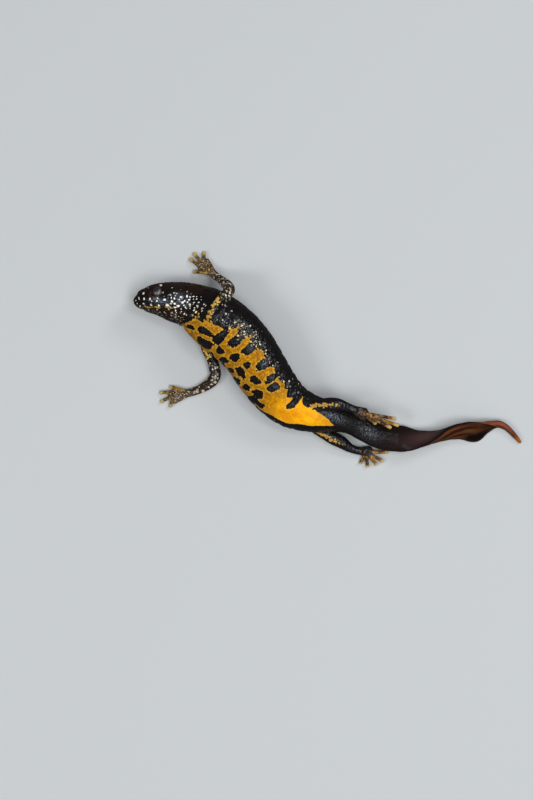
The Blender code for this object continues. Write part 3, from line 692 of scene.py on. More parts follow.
def shape_trunk(s, angles, points):
    """Costal grooves on the flanks and the muscles' lines along the tail."""
    turn = np.abs(angles - 180)[None, :]
    trunk = span(s, COSTAL_START - 2, COSTAL_START + 1, COSTAL_END - 2, COSTAL_END + 1)
    phase = (s[:, None] + 0.012 * (turn - 90) - COSTAL_START) / COSTAL_STEP
    groove = -0.13 * bell(phase_in(phase), 0.13)
    move = groove * span(turn, 30, 52, 118, 150) * trunk[:, None]
    radians = np.radians(angles)[None, :]
    chevron = (s[:, None] + 1.2 * np.cos(radians) ** 2) / 1.9
    tail = span(s, 56, 62, 84, 92)[:, None]
    move = move - 0.05 * bell(phase_in(chevron), 0.12) * tail * np.abs(np.sin(radians)) ** 3
    return points + grid_normals(points) * move[..., None]


def wart_heights(points, places):
    """Height of the skin's warts at points: low on the belly, none on tail fins and lids."""
    s, angle, kind, share, is_digit = places.T
    gaps = np.array([noise.voronoi(Vector(point / WART_SPAN))[0][0] for point in points])
    lumps = np.array([noise.noise(Vector(point / LUMP_SPAN)) for point in points])
    turn = np.abs(angle - 180)
    on_body = (0.35 + 0.65 * ease(40, 75, turn)) * (1 - 0.9 * ease(60, 72, s)) * ease(1.0, 3.0, s)
    amount = np.where(kind == 0, on_body, 0.45 * (1 - ease(0.75, 0.9, share))) * (is_digit == 0)
    for sign in (1, -1):
        amount = amount * ease(1.7, 2.3, np.linalg.norm(points - eye_frame(sign)[0], axis=1))
    return amount * (WART_HEIGHT * (1 - ease(0.08, 0.62, gaps)) + LUMP_HEIGHT * lumps)


def loft_data(rings, start_pole, end_pole):
    """Corners and four-sided faces of a skin over rings, closed by a pole at each end."""
    count, sides = rings.shape[:2]
    corners = np.vstack([rings.reshape(-1, 3), start_pole, end_pole])
    ring, side = np.meshgrid(np.arange(count - 1), np.arange(sides), indexing="ij")
    first, second = ring * sides + side, ring * sides + (side + 1) % sides
    quads = np.stack([first, second, second + sides, first + sides], axis=-1).reshape(-1, 4)
    faces = [tuple(quad) for quad in quads.tolist()]
    last = (count - 1) * sides
    for turn in range(sides):
        step = (turn + 1) % sides
        faces.append((turn, step, count * sides))
        faces.append((last + step, last + turn, count * sides + 1))
    return corners, faces


def make_mesh(name, corners, faces):
    """Mesh object with faces turned outwards, in the unit of its corners."""
    mesh = bpy.data.meshes.new(name)
    mesh.from_pydata(corners.tolist(), [], faces)
    shape = bmesh.new()
    shape.from_mesh(mesh)
    bmesh.ops.recalc_face_normals(shape, faces=shape.faces)
    shape.to_mesh(mesh)
    shape.free()
    item = bpy.data.objects.new(name, mesh)
    bpy.context.scene.collection.objects.link(item)
    return item


def ring_distances():
    """Distances of the body's rings, close at the head and wider along the trunk."""
    spots = [0.0]
    while spots[-1] < LENGTH - LAST_GAP:
        s = spots[-1]
        step = SNOUT_STEP + HEAD_STEP * min(1.0, s / HEAD_STRETCH)
        spots.append(s + step + TRUNK_STEP * float(ease(13.5, 18, s)))
    spots[-1] = LENGTH
    return np.array(spots)


def body_skin():
    """Body from snout to tail tip, with its sources of place and angle."""
    s = ring_distances()
    lap = (np.arange(BODY_SIDES) + 0.5) / BODY_SIDES * 2 * math.pi
    angles = np.degrees(lap + RING_CROWDING * np.sin(4 * lap + math.pi) / 2)
    points = skin(s, angles)
    points = shape_eyelids(points)
    points = shape_head(s, angles, points)
    points = shape_trunk(s, angles, points)
    middles, tangents = body_at([s[0], s[-1]])[:2]
    first = middles[0, :3] - tangents[0] * SNOUT_ROUNDING
    last = middles[1, :3] + tangents[1] * TAIL_ROUNDING
    corners, faces = loft_data(points, first, last)
    places = np.zeros((len(corners), 5))
    places[:-2, 0] = np.repeat(s, len(angles))
    places[:-2, 1] = np.tile(angles, len(s))
    places[-2:, 0] = (0, LENGTH)
    places[-2:, 1] = 180
    return make_mesh("body_shape", corners, faces), corners, places


def tube(knots, points, radii, end, sides, step, flatten=1.0, round_end=False, wobble=None):
    """Rings of a round tube along a smooth curve, from its start to a distance along it."""
    count = max(4, round(end / step) + 1)
    spread = np.linspace(0, 1, count)
    if round_end:
        spread = np.sin(spread * math.pi / 2) ** TIP_CROWDING
    places = end * spread
    middles = through(knots, points, places)
    sizes = through(knots, radii[:, None], places)[:, 0]
    if wobble is not None:
        sizes = sizes * wobble(places / end)
    if round_end:
        left_to_go = np.clip((end - places) / sizes[-1], 0, 1)
        sizes = sizes * np.sqrt(np.clip(1 - (1 - left_to_go) ** 2, TIP_LEAST, 1))
    ahead = through(knots, points, np.clip(places + TUBE_SPAN, 0, knots[-1]))
    behind = through(knots, points, np.clip(places - TUBE_SPAN, 0, knots[-1]))
    tangents = ahead - behind
    tangents /= np.linalg.norm(tangents, axis=1)[:, None]
    rings = []
    across = np.cross(tangents[0], (0, 0, 1))
    turns = np.arange(sides) * 2 * math.pi / sides
    cosines, sines = np.cos(turns)[:, None], np.sin(turns)[:, None]
    for middle, tangent, size in zip(middles, tangents, sizes):
        across = across - tangent * np.dot(across, tangent)
        across /= np.linalg.norm(across)
        over = np.cross(across, tangent)
        rings.append(middle + size * (cosines * across + sines * over * flatten))
    return np.array(rings), places


def tube_piece(name, kind, rings, places, whole):
    """Mesh of a tube, with its sources: kind of piece, distance along it and share of it."""
    corners, faces = loft_data(rings, rings[0].mean(axis=0), rings[-1].mean(axis=0))
    info = np.zeros((len(corners), 5))
    sides = rings.shape[1]
    info[:-2, 0] = np.repeat(places, sides)
    info[:-2, 1] = np.tile(np.arange(sides) * 360 / sides, len(places))
    info[-1, 0] = places[-1]
    info[:, 2] = kind
    info[:, 3] = info[:, 0] / whole
    return make_mesh(name, corners, faces), corners, info


def limb_wobble(share):
    """Swell of the muscles and the bend at elbow and wrist."""
    return 1 + 0.06 * np.sin(share * 2 * math.pi * 2 + 0.4) - 0.05 * bell(share - 0.86, 0.06)


def digit_wobble(share):
    """Knuckles and the soft pad at the end of a finger or toe."""
    return 1 + profile(share, KNUCKLES)


def limb_pieces(name):
    """Limb, palm and digits as closed tubes that run into one another."""
    kind, limb, digits = LIMBS[name]
    hand = name.startswith("arm")
    rows = np.array(limb)
    knots = along(rows[:, :3])
    wrist, span_all = knots[5], knots[-1]
    end = wrist + PALM_OVERLAP
    rings, places = tube(
        knots, rows[:, :3], rows[:, 3], end, LIMB_SIDES, LIMB_STEP, wobble=limb_wobble
    )
    pieces = [tube_piece(name, kind, rings, places, span_all)]
    begin, palm = rows[5, :3], rows[6, :3]
    forward = palm - begin
    forward /= np.linalg.norm(forward)
    level = forward * np.array([1, 1, PALM_SLOPE])
    level /= np.linalg.norm(level)
    sideways = np.cross((0, 0, 1), level)
    sideways *= np.sign(np.dot(np.array(digits[0][:3]) - palm, sideways))
    reach = HAND_REACH if hand else FOOT_REACH
    width = PALM_WIDTH * HAND_BREADTH if hand else PALM_WIDTH
    path = [begin - forward * 0.3, begin + forward * 0.8, palm, palm + level * 0.9]
    path = np.array(path + [palm + level * reach])
    path_knots = along(path)
    narrow = rows[5, 3]
    sizes = np.array([narrow * 0.9, narrow * 1.05, width * 0.95, width * 1.05, width * 0.90])
    rings, places = tube(
        path_knots, path, sizes, path_knots[-1], LIMB_SIDES, PALM_STEP, PALM_FLATNESS, True
    )
    pieces.append(tube_piece(name + "_palm", kind, rings, places + wrist, span_all))
    for number, tip in enumerate(digits):
        end = np.array(tip[:3])
        towards = end - palm
        far = np.linalg.norm(towards)
        towards /= far
        if hand:
            ahead, out = HAND_ROOTS[number]
            knuckle = palm + (level if ahead > 0 else forward) * ahead + sideways * out
            start = begin + forward * 0.6 + sideways * out * 0.35
            if ahead < 0:
                start = begin - forward * 0.3 + sideways * out * 0.2
            middle = 0.5 * (knuckle + end)
        else:
            spread = towards - forward * np.dot(towards, forward)
            start = palm - forward * 0.9 + spread * 0.35
            knuckle = palm + towards * 0.95 + spread * 0.15
            middle = palm + towards * (0.5 * (far + 0.9))
        knuckle[2] += KNUCKLE_RISE
        middle[2] = max(knuckle[2], end[2]) + tip[3] * DIGIT_ARCH
        points = np.array([start, knuckle, middle, end])
        digit_knots = along(points)
        length = digit_knots[-1]
        rings, places = tube(
            digit_knots, points, DIGIT_RADII, length, DIGIT_SIDES, DIGIT_STEP,
            round_end=True, wobble=digit_wobble,
        )
        piece = tube_piece(f"{name}_digit_{number}", kind, rings, places, length)
        piece[2][:, 4] = 1
        pieces.append(piece)
    return pieces


def unite(base, others):
    """Join closed meshes into one skin and remove them."""
    group = bpy.data.collections.new("joined")
    bpy.context.scene.collection.children.link(group)
    for other in others:
        bpy.context.scene.collection.objects.unlink(other)
        group.objects.link(other)
    change = base.modifiers.new("join", "BOOLEAN")
    change.operation = "UNION"
    change.operand_type = "COLLECTION"
    change.collection = group
    change.solver = "MANIFOLD"
    bpy.context.view_layer.update()
    mesh = bpy.data.meshes.new_from_object(base.evaluated_get(bpy.context.evaluated_depsgraph_get()))
    for item in [base] + others:
        bpy.data.objects.remove(item)
    bpy.data.collections.remove(group)
    return mesh


def read(items, name, size=3, kind=float):
    """Values of a mesh's corners, normals or edges, in rows."""
    values = np.zeros(len(items) * size, dtype=kind)
    items.foreach_get(name, values)
    return values.reshape(-1, size)


def move_corners(mesh, points):
    """Move a mesh's corners to points."""
    mesh.vertices.foreach_set("co", points.ravel())
    mesh.update()


def nearest(points, corners):
    """Number and distance of the nearest corner for each point."""
    tree = kdtree.KDTree(len(corners))
    for number, corner in enumerate(corners):
        tree.insert(corner, number)
    tree.balance()
    found = [tree.find(point) for point in points]
    return np.array([hit[1] for hit in found]), np.array([hit[2] for hit in found])


def soften_joins(mesh, points, far, places):
    """Round the lines where limbs and digits grow out."""
    gaps = nearest(points, points[far > 0.004])[1]
    hand_end = (places[:, 2] > 0) & (places[:, 3] > 0.7)
    reach = np.where(hand_end | (places[:, 4] > 0), 0.40, 1.05)
    weight = (1 - ease(0.35, 1.0, gaps / reach))[:, None]
    edges = read(mesh.edges, "vertices", 2, int)
    count = np.bincount(edges.ravel(), minlength=len(points))[:, None]
    first, second = edges.T
    for lap in range(SOFTEN_LAPS):
        total = np.zeros_like(points)
        for axis in range(3):
            total[:, axis] = np.bincount(first, points[second, axis], len(points))
            total[:, axis] += np.bincount(second, points[first, axis], len(points))
        points = points + (total / np.maximum(count, 1) - points) * weight * SOFTEN_SHARE
    return points


def blotch_distance(s, angle, radius, spot):
    """Distance outside a tilted, slightly lobed oval on the skin; negative inside it."""
    place, middle, half_long, half_round, turn = spot
    far = s - place
    off = np.radians(angle - middle) * radius
    lean = math.radians(turn)
    x = (far * math.cos(lean) + off * math.sin(lean)) / half_long
    y = (-far * math.sin(lean) + off * math.cos(lean)) / half_round
    q = (np.abs(x) ** BLOTCH_POWER + np.abs(y) ** BLOTCH_POWER) ** (1 / BLOTCH_POWER)
    around = np.arctan2(y, x)
    lobes = 0.09 * np.sin(3 * around + place * 2.1) + 0.06 * np.sin(5 * around + middle * 0.7)
    return (q * (1 + lobes) - 1) * min(half_long, half_round)


def spot_field(s, angle, radius):
    """Distance inside the nearest cream spot of the head, and how yellow that spot is."""
    field = np.full(len(s), -1.0)
    tint = np.zeros(len(s))
    for place, middle, size, stretch, yellow in HEAD_SPOTS:
        far = (s - place) / stretch**0.5
        off = np.radians(angle - middle) * radius * stretch**0.5
        inside = size - np.hypot(far, off)
        tint = np.where(inside > field, yellow, tint)
        field = np.maximum(field, inside)
    return np.clip(field, -1, 1), tint


def yellow_field(s, angle, radius):
    """Distance inside the yellow belly, negative in the black, and how pale the black is."""
    left = np.array(YELLOW_LEFT, dtype=float)
    right = np.array(YELLOW_RIGHT, dtype=float)
    from_left = np.radians(angle - np.interp(s, left[:, 0], left[:, 1])) * radius
    from_right = np.radians(np.interp(s, right[:, 0], right[:, 1]) - angle) * radius
    field = np.minimum(from_left, from_right)
    field = np.minimum(field, (s - left[0, 0]) * 1.5)
    field = np.minimum(field, (left[-1, 0] - s) * 1.5)
    for spot in SPIKES:
        field = np.maximum(field, -blotch_distance(s, angle, radius, spot))
    pale = np.zeros(len(s))
    for spot in BLOTCHES:
        outside = blotch_distance(s, angle, radius, spot[:5])
        pale = np.where((outside < 0.15) & (outside < field), spot[5], pale)
        field = np.minimum(field, outside)
    return np.clip(field, -3, 3), pale


def throat_share(s, turn):
    """How far places lie on the throat."""
    return (1 - ease(56, 72, turn)) * (1 - ease(12, 16, s))


def wetness(s, angle, belly, kind):
    """How much the skin shines: most on cheek, belly blotches, pelvis and tail base."""
    wet = 0.16 - 0.11 * ease(64, 72, s) + 0.12 * bell(angle - 112, 34) * span(s, 13, 17, 50, 60)
    wet = wet * (1 - 0.75 * throat_share(s, np.abs(angle - 180)))
    on_bar = ease(0.62, 0.98, -belly) * ease(106, 128, angle) * (angle < 200) * (s > 14) * (s < 50)
    wet = wet * (1 - 0.75 * ease(-0.6, 0.1, belly) * (angle > 112)) + 0.62 * on_bar
    wet = wet + 0.24 * bell(np.where(angle > 180, angle - 360, angle), 40) * (s < 64)
    wet = wet + patches(s, angle, WET_PATCHES)
    return np.clip(np.where(kind == 0, wet, 0.42), 0, 1)


def tail_markings(s, angle, turn):
    """Brown far side, painted shade in the tip's fold, dark edges, and the light strip where the tip
    turns over.
    """
    right_face = span(angle, 184, 205, 335, 352)
    brown = ease(62, 76, s) * right_face + ease(80, 90, s) * (1 - right_face) * 0.8
    turned = np.array(TURNED_EDGE, dtype=float)
    past = np.interp(s, turned[:, 0], turned[:, 1]) - angle
    under = angle > 150
    over = ease(-7, 7, past) * under * ease(85, 88, s)
    before_tip = 1 - ease(97, 99, s)
    # Painted shade in the fold where the fin curls under past the tip's turned edge and along that
    # edge; the tail's edge lines below are its own dark colour.
    fold = patches(s, angle, FOLD_SHADE_PATCHES)
    fold = fold + 0.42 * ease(88, 91, s) * (1 - over) * before_tip * under
    fold = fold + 0.75 * bell(past, 9) * span(s, 84, 87, 98, 99.5) * under
    back_edge = 0.6 * bell(turn - 180, 7)
    belly_edge = bell(turn, 8 + 7 * span(s, 70, 80, 83, 88)) * (1 - 0.8 * ease(84, 88, s))
    edge = ease(58, 68, s) * (1 - 0.5 * ease(92, 97, s)) * before_tip
    return {
        "brown": np.clip(brown, 0, 1),
        "slate": span(s, 56, 70, 84, 90) * (1 - right_face),
        "dusky": patches(s, angle, DUSKY_PATCHES),
        "light": over * before_tip,
        "fold": np.clip(fold + edge * np.maximum(belly_edge, back_edge), 0, 1),
        "gold": ease(97.8, 99.6, s),
        "matte": ease(64, 74, s),
        "wrinkle": bell(s - 61, 8),
        # Where pale lines are painted as highlights on the creases.
        "painted_glint": patches(s, angle, PAINTED_GLINT_PATCHES),
    }


def head_markings(s, angle, turn, radius):
    """Golden rim of the lip, brown lids, warm throat, painted bluish sheen on the cheek and brown
    back.
    """
    folded = np.where(angle > 180, 360 - angle, angle)
    rim = np.array(LIP_RIM, dtype=float)
    off = np.radians(folded - np.interp(s, rim[:, 0], rim[:, 1])) * radius
    lip = bell(off + 0.03 * np.sin(s * 2.9), 0.27) * span(s, 1.0, 1.8, 9.6, 10.4)
    return {
        "lip": lip * (0.66 + 0.34 * np.cos((s - 2.9) * 2 * math.pi / 2.6)),
        "lid": bell(s - 4.0, 0.42) * bell(folded - 66, 19),
        "warm": throat_share(s, turn),
        # Painted bluish sheen on the cheek and upper lip.
        "painted_sheen": patches(s, angle, PAINTED_SHEEN_PATCHES),
        "back": (1 - ease(44, 76, folded)) * (1 - ease(56, 68, s)),
    }


def markings(places):
    """Values that carry the markings, for every point of the skin."""
    s, angle, kind, share, is_digit = places.T
    turn = np.abs(angle - 180)
    rows = through(DISTANCES, TABLE, s)
    radius = (rows[:, 3] + rows[:, 5]) / 2
    body, arm, leg, digit = kind == 0, (kind == 1) | (kind == 2), kind > 2, is_digit > 0

    def pick(on_body, on_arm, on_leg):
        """Value for the body, for the arms and for the legs."""
        return np.where(body, on_body, np.where(arm, on_arm, on_leg))

    values = {**head_markings(s, angle, turn, radius), **tail_markings(s, angle, turn)}
    values = {name: body * value for name, value in values.items()}

    belly, pale = yellow_field(s, angle, radius)
    at_root = 1 - ease(0.12, 0.32, share)
    arm_middle = np.where(kind == 1, 128 - 30 * at_root, 60)
    arm_stripe = bell(angle - arm_middle, 54 - 16 * at_root) * (1 - ease(0.30, 0.40, share))
    leg_stripe = bell(angle - np.where(kind == 3, 95, 70), 33) * (1 - ease(0.34, 0.86, share))
    yellow = pick(belly, -0.95 + 1.40 * arm_stripe, -0.90 + 1.50 * leg_stripe)
    on_left = angle < 180
    thigh_line = ease(48.8, 49.6, s) * (1 - ease(142, 152, angle)) * on_left
    ragged = 0.10 + 0.45 * thigh_line + 0.34 * ease(136, 126, angle) * on_left
    ragged = np.clip(ragged + 0.14 * (1 - ease(36, 42, s)), 0, 0.8)
    # Darker amber yellow towards the throat and again past the thigh: partly the skin's tone, partly
    # painted shade.
    amber_and_shade = 0.88 - 0.80 * ease(39.5, 45.5, s) + 0.30 * ease(49, 53, s)

    spot, spot_tint = spot_field(s, angle, radius)
    head = 1 - ease(14.6, 17.4, s)
    underside = head * (1 - ease(46, 62, turn))
    drawn = head * span(angle, 20, 34, 118, 126) * on_left
    hidden_cheek = head * bell(angle - 272, 34) * 0.75
    chin = head * (1 - ease(50, 62, turn)) * (1 - ease(12, 14.5, s)) * 0.62
    flank = bell(turn - 66, 24) * span(s, 13.5, 16, 40, 52)
    fringe = bell(belly + 0.45, 0.40) * span(s, 22, 23, 42, 48) * ease(44, 52, turn)
    specks = hidden_cheek + chin + 0.30 * flank + 0.28 * flank * (1 - ease(26, 32, s))
    specks = (specks + 0.42 * fringe + 0.03 * (1 - ease(50, 60, s))) * (1 - 0.86 * drawn)
    on_arm = np.where(kind == 1, 0.85, 0.42) * ease(0.22, 0.42, share)
    specks = pick(specks, on_arm, 0.10 * (1 - ease(0.3, 0.5, share)))
    near_yellow = np.clip(1.0 + yellow * 1.1, 0, 0.75)
    least = np.where(arm, 0.30, 0.30 * underside)
    small = 0.35 + 0.65 * head * (1 - ease(40, 60, turn)) + 0.50 * flank
    bright = 1 - 0.52 * underside - 0.40 * flank * (1 - np.clip(fringe * 2, 0, 1))

    palm = pick(0.0, ease(0.80, 0.93, share), 0.12 * ease(0.84, 0.97, share))
    on_palm = ease(0.98, 1.05, share) * ease(-0.2, 0.8, np.sin(np.radians(angle * 4 + 40)))
    on_digit = np.where(leg, ease(0.08, 0.34, share), ease(0.18, 0.46, share))
    values.update({
        "yellow": yellow,
        "pale": pick(pale, 0.60 * ease(0.28, 0.5, share), 0.05),
        "golden": pick(0.0, 0.75 * ease(0.10, 0.30, share), 0.25),
        "ragged": pick(ragged, 1.05, 0.80),
        "grainy": np.where(body, 0.55 - 0.45 * ease(38, 44, s), 1.0),
        "amber_and_shade": np.where(body, amber_and_shade, 1.0),
        "spot": np.where(body, spot, -1.0),
        "specks": np.where(digit, 0.0, np.clip(specks, 0, 1)),
        "tint": np.where(spot > -0.15, spot_tint, np.maximum(near_yellow, least)),
        "small": np.where(body, small, 0.35),
        "bright": np.where(body, bright, 0.9),
        "dot_size": pick(0.40 + 0.05 * head - 0.12 * ease(0.0, 0.3, chin), 0.55, 0.40),
        "far": s,
        "round": np.where(angle > 180, angle - 360, angle),
        "rough_skin": np.where(body, 1 - 0.80 * ease(66, 76, s), 0.8),
        "wet": wetness(s, angle, belly, kind),
        "hind": leg * 1.0,
        "palm": np.where(digit, np.where(arm, 1.0, 0.35), palm),
        "digit": np.where(digit, on_digit, 0.75 * (kind == 3) * on_palm),
        "tip": np.where(digit, ease(0.80, 0.90, share), 0.0),
    })
    return values


class Shader:
    """Short way to place and join the nodes of one material."""

    def __init__(self, name):
        self.material = bpy.data.materials.new(name)
        self.material.use_nodes = True
        self.tree = self.material.node_tree
        self.surface = self.tree.nodes["Principled BSDF"]

    def put(self, target, value):
        """Join a socket to an input, or set the input's own value."""
        if isinstance(value, bpy.types.NodeSocket):
            self.tree.links.new(value, target)
        else:
            target.default_value = (*value, 1.0) if target.type == "RGBA" else value

    def node(self, kind, settings=(), **inputs):
        """Add a node, with settings as pairs and inputs by name or number."""
        made = self.tree.nodes.new(kind)
        for name, value in dict(settings).items():
            setattr(made, name, value)
        for name, value in inputs.items():
            key = int(name[1:]) if name[0] == "n" and name[1:].isdigit() else name.replace("_", " ")
            self.put(made.inputs[key], value)
        return made

    def finish(self, **inputs):
        """Set the surface's inputs by name and return the material."""
        for name, value in inputs.items():
            self.put(self.surface.inputs[name.replace("_", " ")], value)
        return self.material

    def place(self):
        """Place in the object's own space."""
        return self.node("ShaderNodeTexCoord").outputs["Object"]

    def value(self, name):
        """Value stored on the skin's points."""
        return self.node("ShaderNodeAttribute", {"attribute_name": name}).outputs["Fac"]

    def math(self, operation, first, second=0.0):
        """Result of one sum."""
        return self.node("ShaderNodeMath", {"operation": operation}, n0=first, n1=second).outputs[0]

    def plus(self, first, second):
        """First and second together."""
        return self.math("ADD", first, second)

    def minus(self, first, second):
        """First without second."""
        return self.math("SUBTRACT", first, second)

    def times(self, first, second):
        """First multiplied by second."""
        return self.math("MULTIPLY", first, second)

    def about(self, value, amount):
        """Value between 0 and 1 moved to lie about zero, and multiplied by an amount."""
        return self.times(self.minus(value, 0.5), amount)

    def step(self, value, low, high, to_low=0.0, to_high=1.0):
        """Smooth step between two values."""
        settings = {"interpolation_type": "SMOOTHSTEP"}
        inputs = {"n0": value, "n1": low, "n2": high, "n3": to_low, "n4": to_high}
        return self.node("ShaderNodeMapRange", settings, **inputs).outputs[0]

    def mix(self, share, first, second):
        """Colour between two colours."""
        settings = {"data_type": "RGBA"}
        return self.node("ShaderNodeMix", settings, n0=share, n6=first, n7=second).outputs[2]

    def layers(self, base, tones):
        """Lay colours over a base, each by the value stored under its name."""
        for name, tone in tones:
            base = self.mix(self.value(name), base, tone)
        return base

    def noise(self, place, scale, detail=2.0, rough=0.5):
        """Soft noise between 0 and 1."""
        inputs = {"Vector": place, "Scale": scale, "Detail": detail, "Roughness": rough}
        return self.node("ShaderNodeTexNoise", **inputs).outputs["Fac"]

    def cells(self, place, scale, feature="F1"):
        """Cells: distance to the nearest point and a colour drawn for the cell."""
        settings = {"feature": feature}
        made = self.node("ShaderNodeTexVoronoi", settings, Vector=place, Scale=scale, Randomness=1.0)
        return made.outputs["Distance"], made.outputs["Color"]

    def draws(self, colour):
        """Two numbers between 0 and 1 from the colour drawn for a cell."""
        parts = self.node("ShaderNodeSeparateColor", Color=colour).outputs
        return parts[0], parts[1]

    def along_body(self, per_mm, per_degree):
        """Place on the skin from its distance along the body and its angle round it."""
        x = self.times(self.value("far"), per_mm)
        y = self.times(self.value("round"), per_degree)
        return self.node("ShaderNodeCombineXYZ", X=x, Y=y).outputs[0]


def dark_skin(make, place, wrinkles):
    """Black skin with a brown back, painted bluish sheen, painted glints on creases, and the browns,
    dark edges and painted fold shade of the tail.
    """
    mix, step, noise = make.mix, make.step, make.noise
    black = mix(noise(place, CLOUDS), (0.0035, 0.0028, 0.0028), (0.0090, 0.0068, 0.0060))
    black = mix(step(noise(place, MOTTLE, 3.0), 0.55, 0.80), black, (0.013, 0.010, 0.009))
    black = make.layers(black, [
        ("lid", (0.042, 0.018, 0.008)),
        ("warm", (0.014, 0.0066, 0.0042)),
        # The bluish tone laid here is a painted sheen on the cheek and upper lip.
        ("painted_sheen", (0.050, 0.057, 0.072)),
    ])
    black = mix(make.times(make.value("pale"), 0.7), black, (0.050, 0.020, 0.008))
    back_spot = step(make.cells(place, BACK_SPOTS)[0], 0.30, 0.42)
    black = make.layers(black, [
        ("back", mix(back_spot, (0.0050, 0.0032, 0.0026), (0.0170, 0.0078, 0.0042))),
        ("slate", (0.0088, 0.0048, 0.0041)),
        ("dusky", (0.052, 0.027, 0.024)),
    ])
    # Pale bluish lines along the wrinkles are painted highlights, glints of the wet creases.
    painted_glints = make.times(step(wrinkles, 0.50, 0.66), make.value("painted_glint"))
    black = mix(painted_glints, black, (0.120, 0.125, 0.145))
    streaks = step(noise(make.along_body(0.11, 0.045), 1.0, 4.0), 0.34, 0.66)
    brown = mix(streaks, (0.015, 0.0042, 0.0016), (0.095, 0.029, 0.0085))
    pale_brown = mix(streaks, (0.080, 0.019, 0.008), (0.235, 0.068, 0.027))
    return make.layers(black, [
        ("brown", mix(make.value("light"), brown, pale_brown)),
        # The fold value lays painted shade in the tip's curled fin, and the tail's dark edge lines.
        ("fold", (0.0045, 0.0020, 0.0015)),
        ("gold", (0.24, 0.070, 0.009)),
    ])


def belly_skin(make, place, field, fine, broad, grain):
    """Orange belly, darker amber towards the throat and at the pelvis's end, partly the skin's tone
    and partly painted shade, and golden on the limbs.
    """
    mix, step = make.mix, make.step
    glow = step(make.noise(place, CLOUDS, 3.0), 0.34, 0.66)
    orange = mix(glow, (0.67, 0.235, 0.002), (0.90, 0.40, 0.004))
    orange = mix(step(fine, 0.52, 0.82), orange, (0.95, 0.50, 0.012))
    # Darker amber, partly the skin's tone and partly painted shade.
    amber_and_shade = mix(step(broad, 0.25, 0.75), (0.22, 0.086, 0.002), (0.49, 0.217, 0.003))
    orange = mix(make.value("amber_and_shade"), orange, amber_and_shade)
    pits = make.times(step(grain, 0.34, 0.58), make.value("grainy"))
    orange = mix(make.times(pits, 1.1), orange, (0.16, 0.055, 0.002))
    gold = mix(fine, (0.42, 0.215, 0.010), (0.80, 0.58, 0.17))
    orange = mix(make.value("golden"), orange, gold)
    return mix(step(field, 0.25, 0.0, 0.0, 0.40), orange, (0.72, 0.45, 0.07))


def stipples(make, place, fine, broad):
    """Cream stipples and spots: how far they cover the skin, and their colour."""
    plus, minus, times, step = make.plus, make.minus, make.times, make.step
    specks = make.value("specks")
    stir = make.node("ShaderNodeTexNoise", Vector=place, Scale=STIR, Detail=1.0).outputs["Color"]
    inputs = {"n0": stir, "n1": (STIRRED,) * 3, "n2": place}
    bent = make.node("ShaderNodeVectorMath", {"operation": "MULTIPLY_ADD"}, **inputs).outputs[0]
    far, drawn = make.cells(bent, DOTS)
    chosen, second = make.draws(drawn)
    size = times(step(minus(specks, chosen), -0.04, 0.30), make.value("dot_size"))
    dot = times(step(minus(size, far), 0.0, 0.07), step(specks, 0.01, 0.05))
    far, drawn = make.cells(bent, SMALL_DOTS)
    warmth, chosen = make.draws(drawn)
    size = times(step(minus(specks, chosen), -0.02, 0.35), 0.38)
    small_dot = times(step(minus(size, far), 0.0, 0.09), times(make.value("small"), 0.8))
    wobble = plus(make.about(fine, 0.42), make.about(make.noise(place, GRIT), 0.30))
    spot = step(plus(make.value("spot"), wobble), -0.01, 0.09)
    shade = times(make.value("bright"), step(second, 0.0, 1.0, 0.35, 1.0))
    dots = times(make.math("MAXIMUM", dot, small_dot), shade)
    dots = make.math("MAXIMUM", dots, times(spot, step(broad, 0.25, 0.55, 0.55, 1.0)))
    cream = make.mix(warmth, (0.56, 0.50, 0.42), (0.86, 0.83, 0.70))
    cream = make.mix(times(spot, 0.7), cream, (0.90, 0.86, 0.74))
    return dots, make.mix(make.value("tint"), cream, (0.72, 0.44, 0.050))


def limb_ends(make, place, base, fine, broad):
    """Lay tan palms, golden digits and their pale pads over a base."""
    mix, step = make.mix, make.step
    tan = mix(step(fine, 0.42, 0.66), (0.022, 0.012, 0.005), (0.155, 0.086, 0.026))
    tan = mix(step(make.noise(place, TAN_DOTS), 0.59, 0.65), tan, (0.56, 0.43, 0.29))
    toes = mix(step(broad, 0.36, 0.60), (0.050, 0.025, 0.003), (0.25, 0.132, 0.009))
    hind_toes = mix(step(broad, 0.38, 0.62), (0.032, 0.014, 0.003), (0.26, 0.115, 0.012))
    hind = make.value("hind")
    pads = mix(hind, (0.42, 0.285, 0.100), (0.45, 0.29, 0.11))
    return make.layers(base, [("palm", tan), ("digit", mix(hind, toes, hind_toes)), ("tip", pads)])


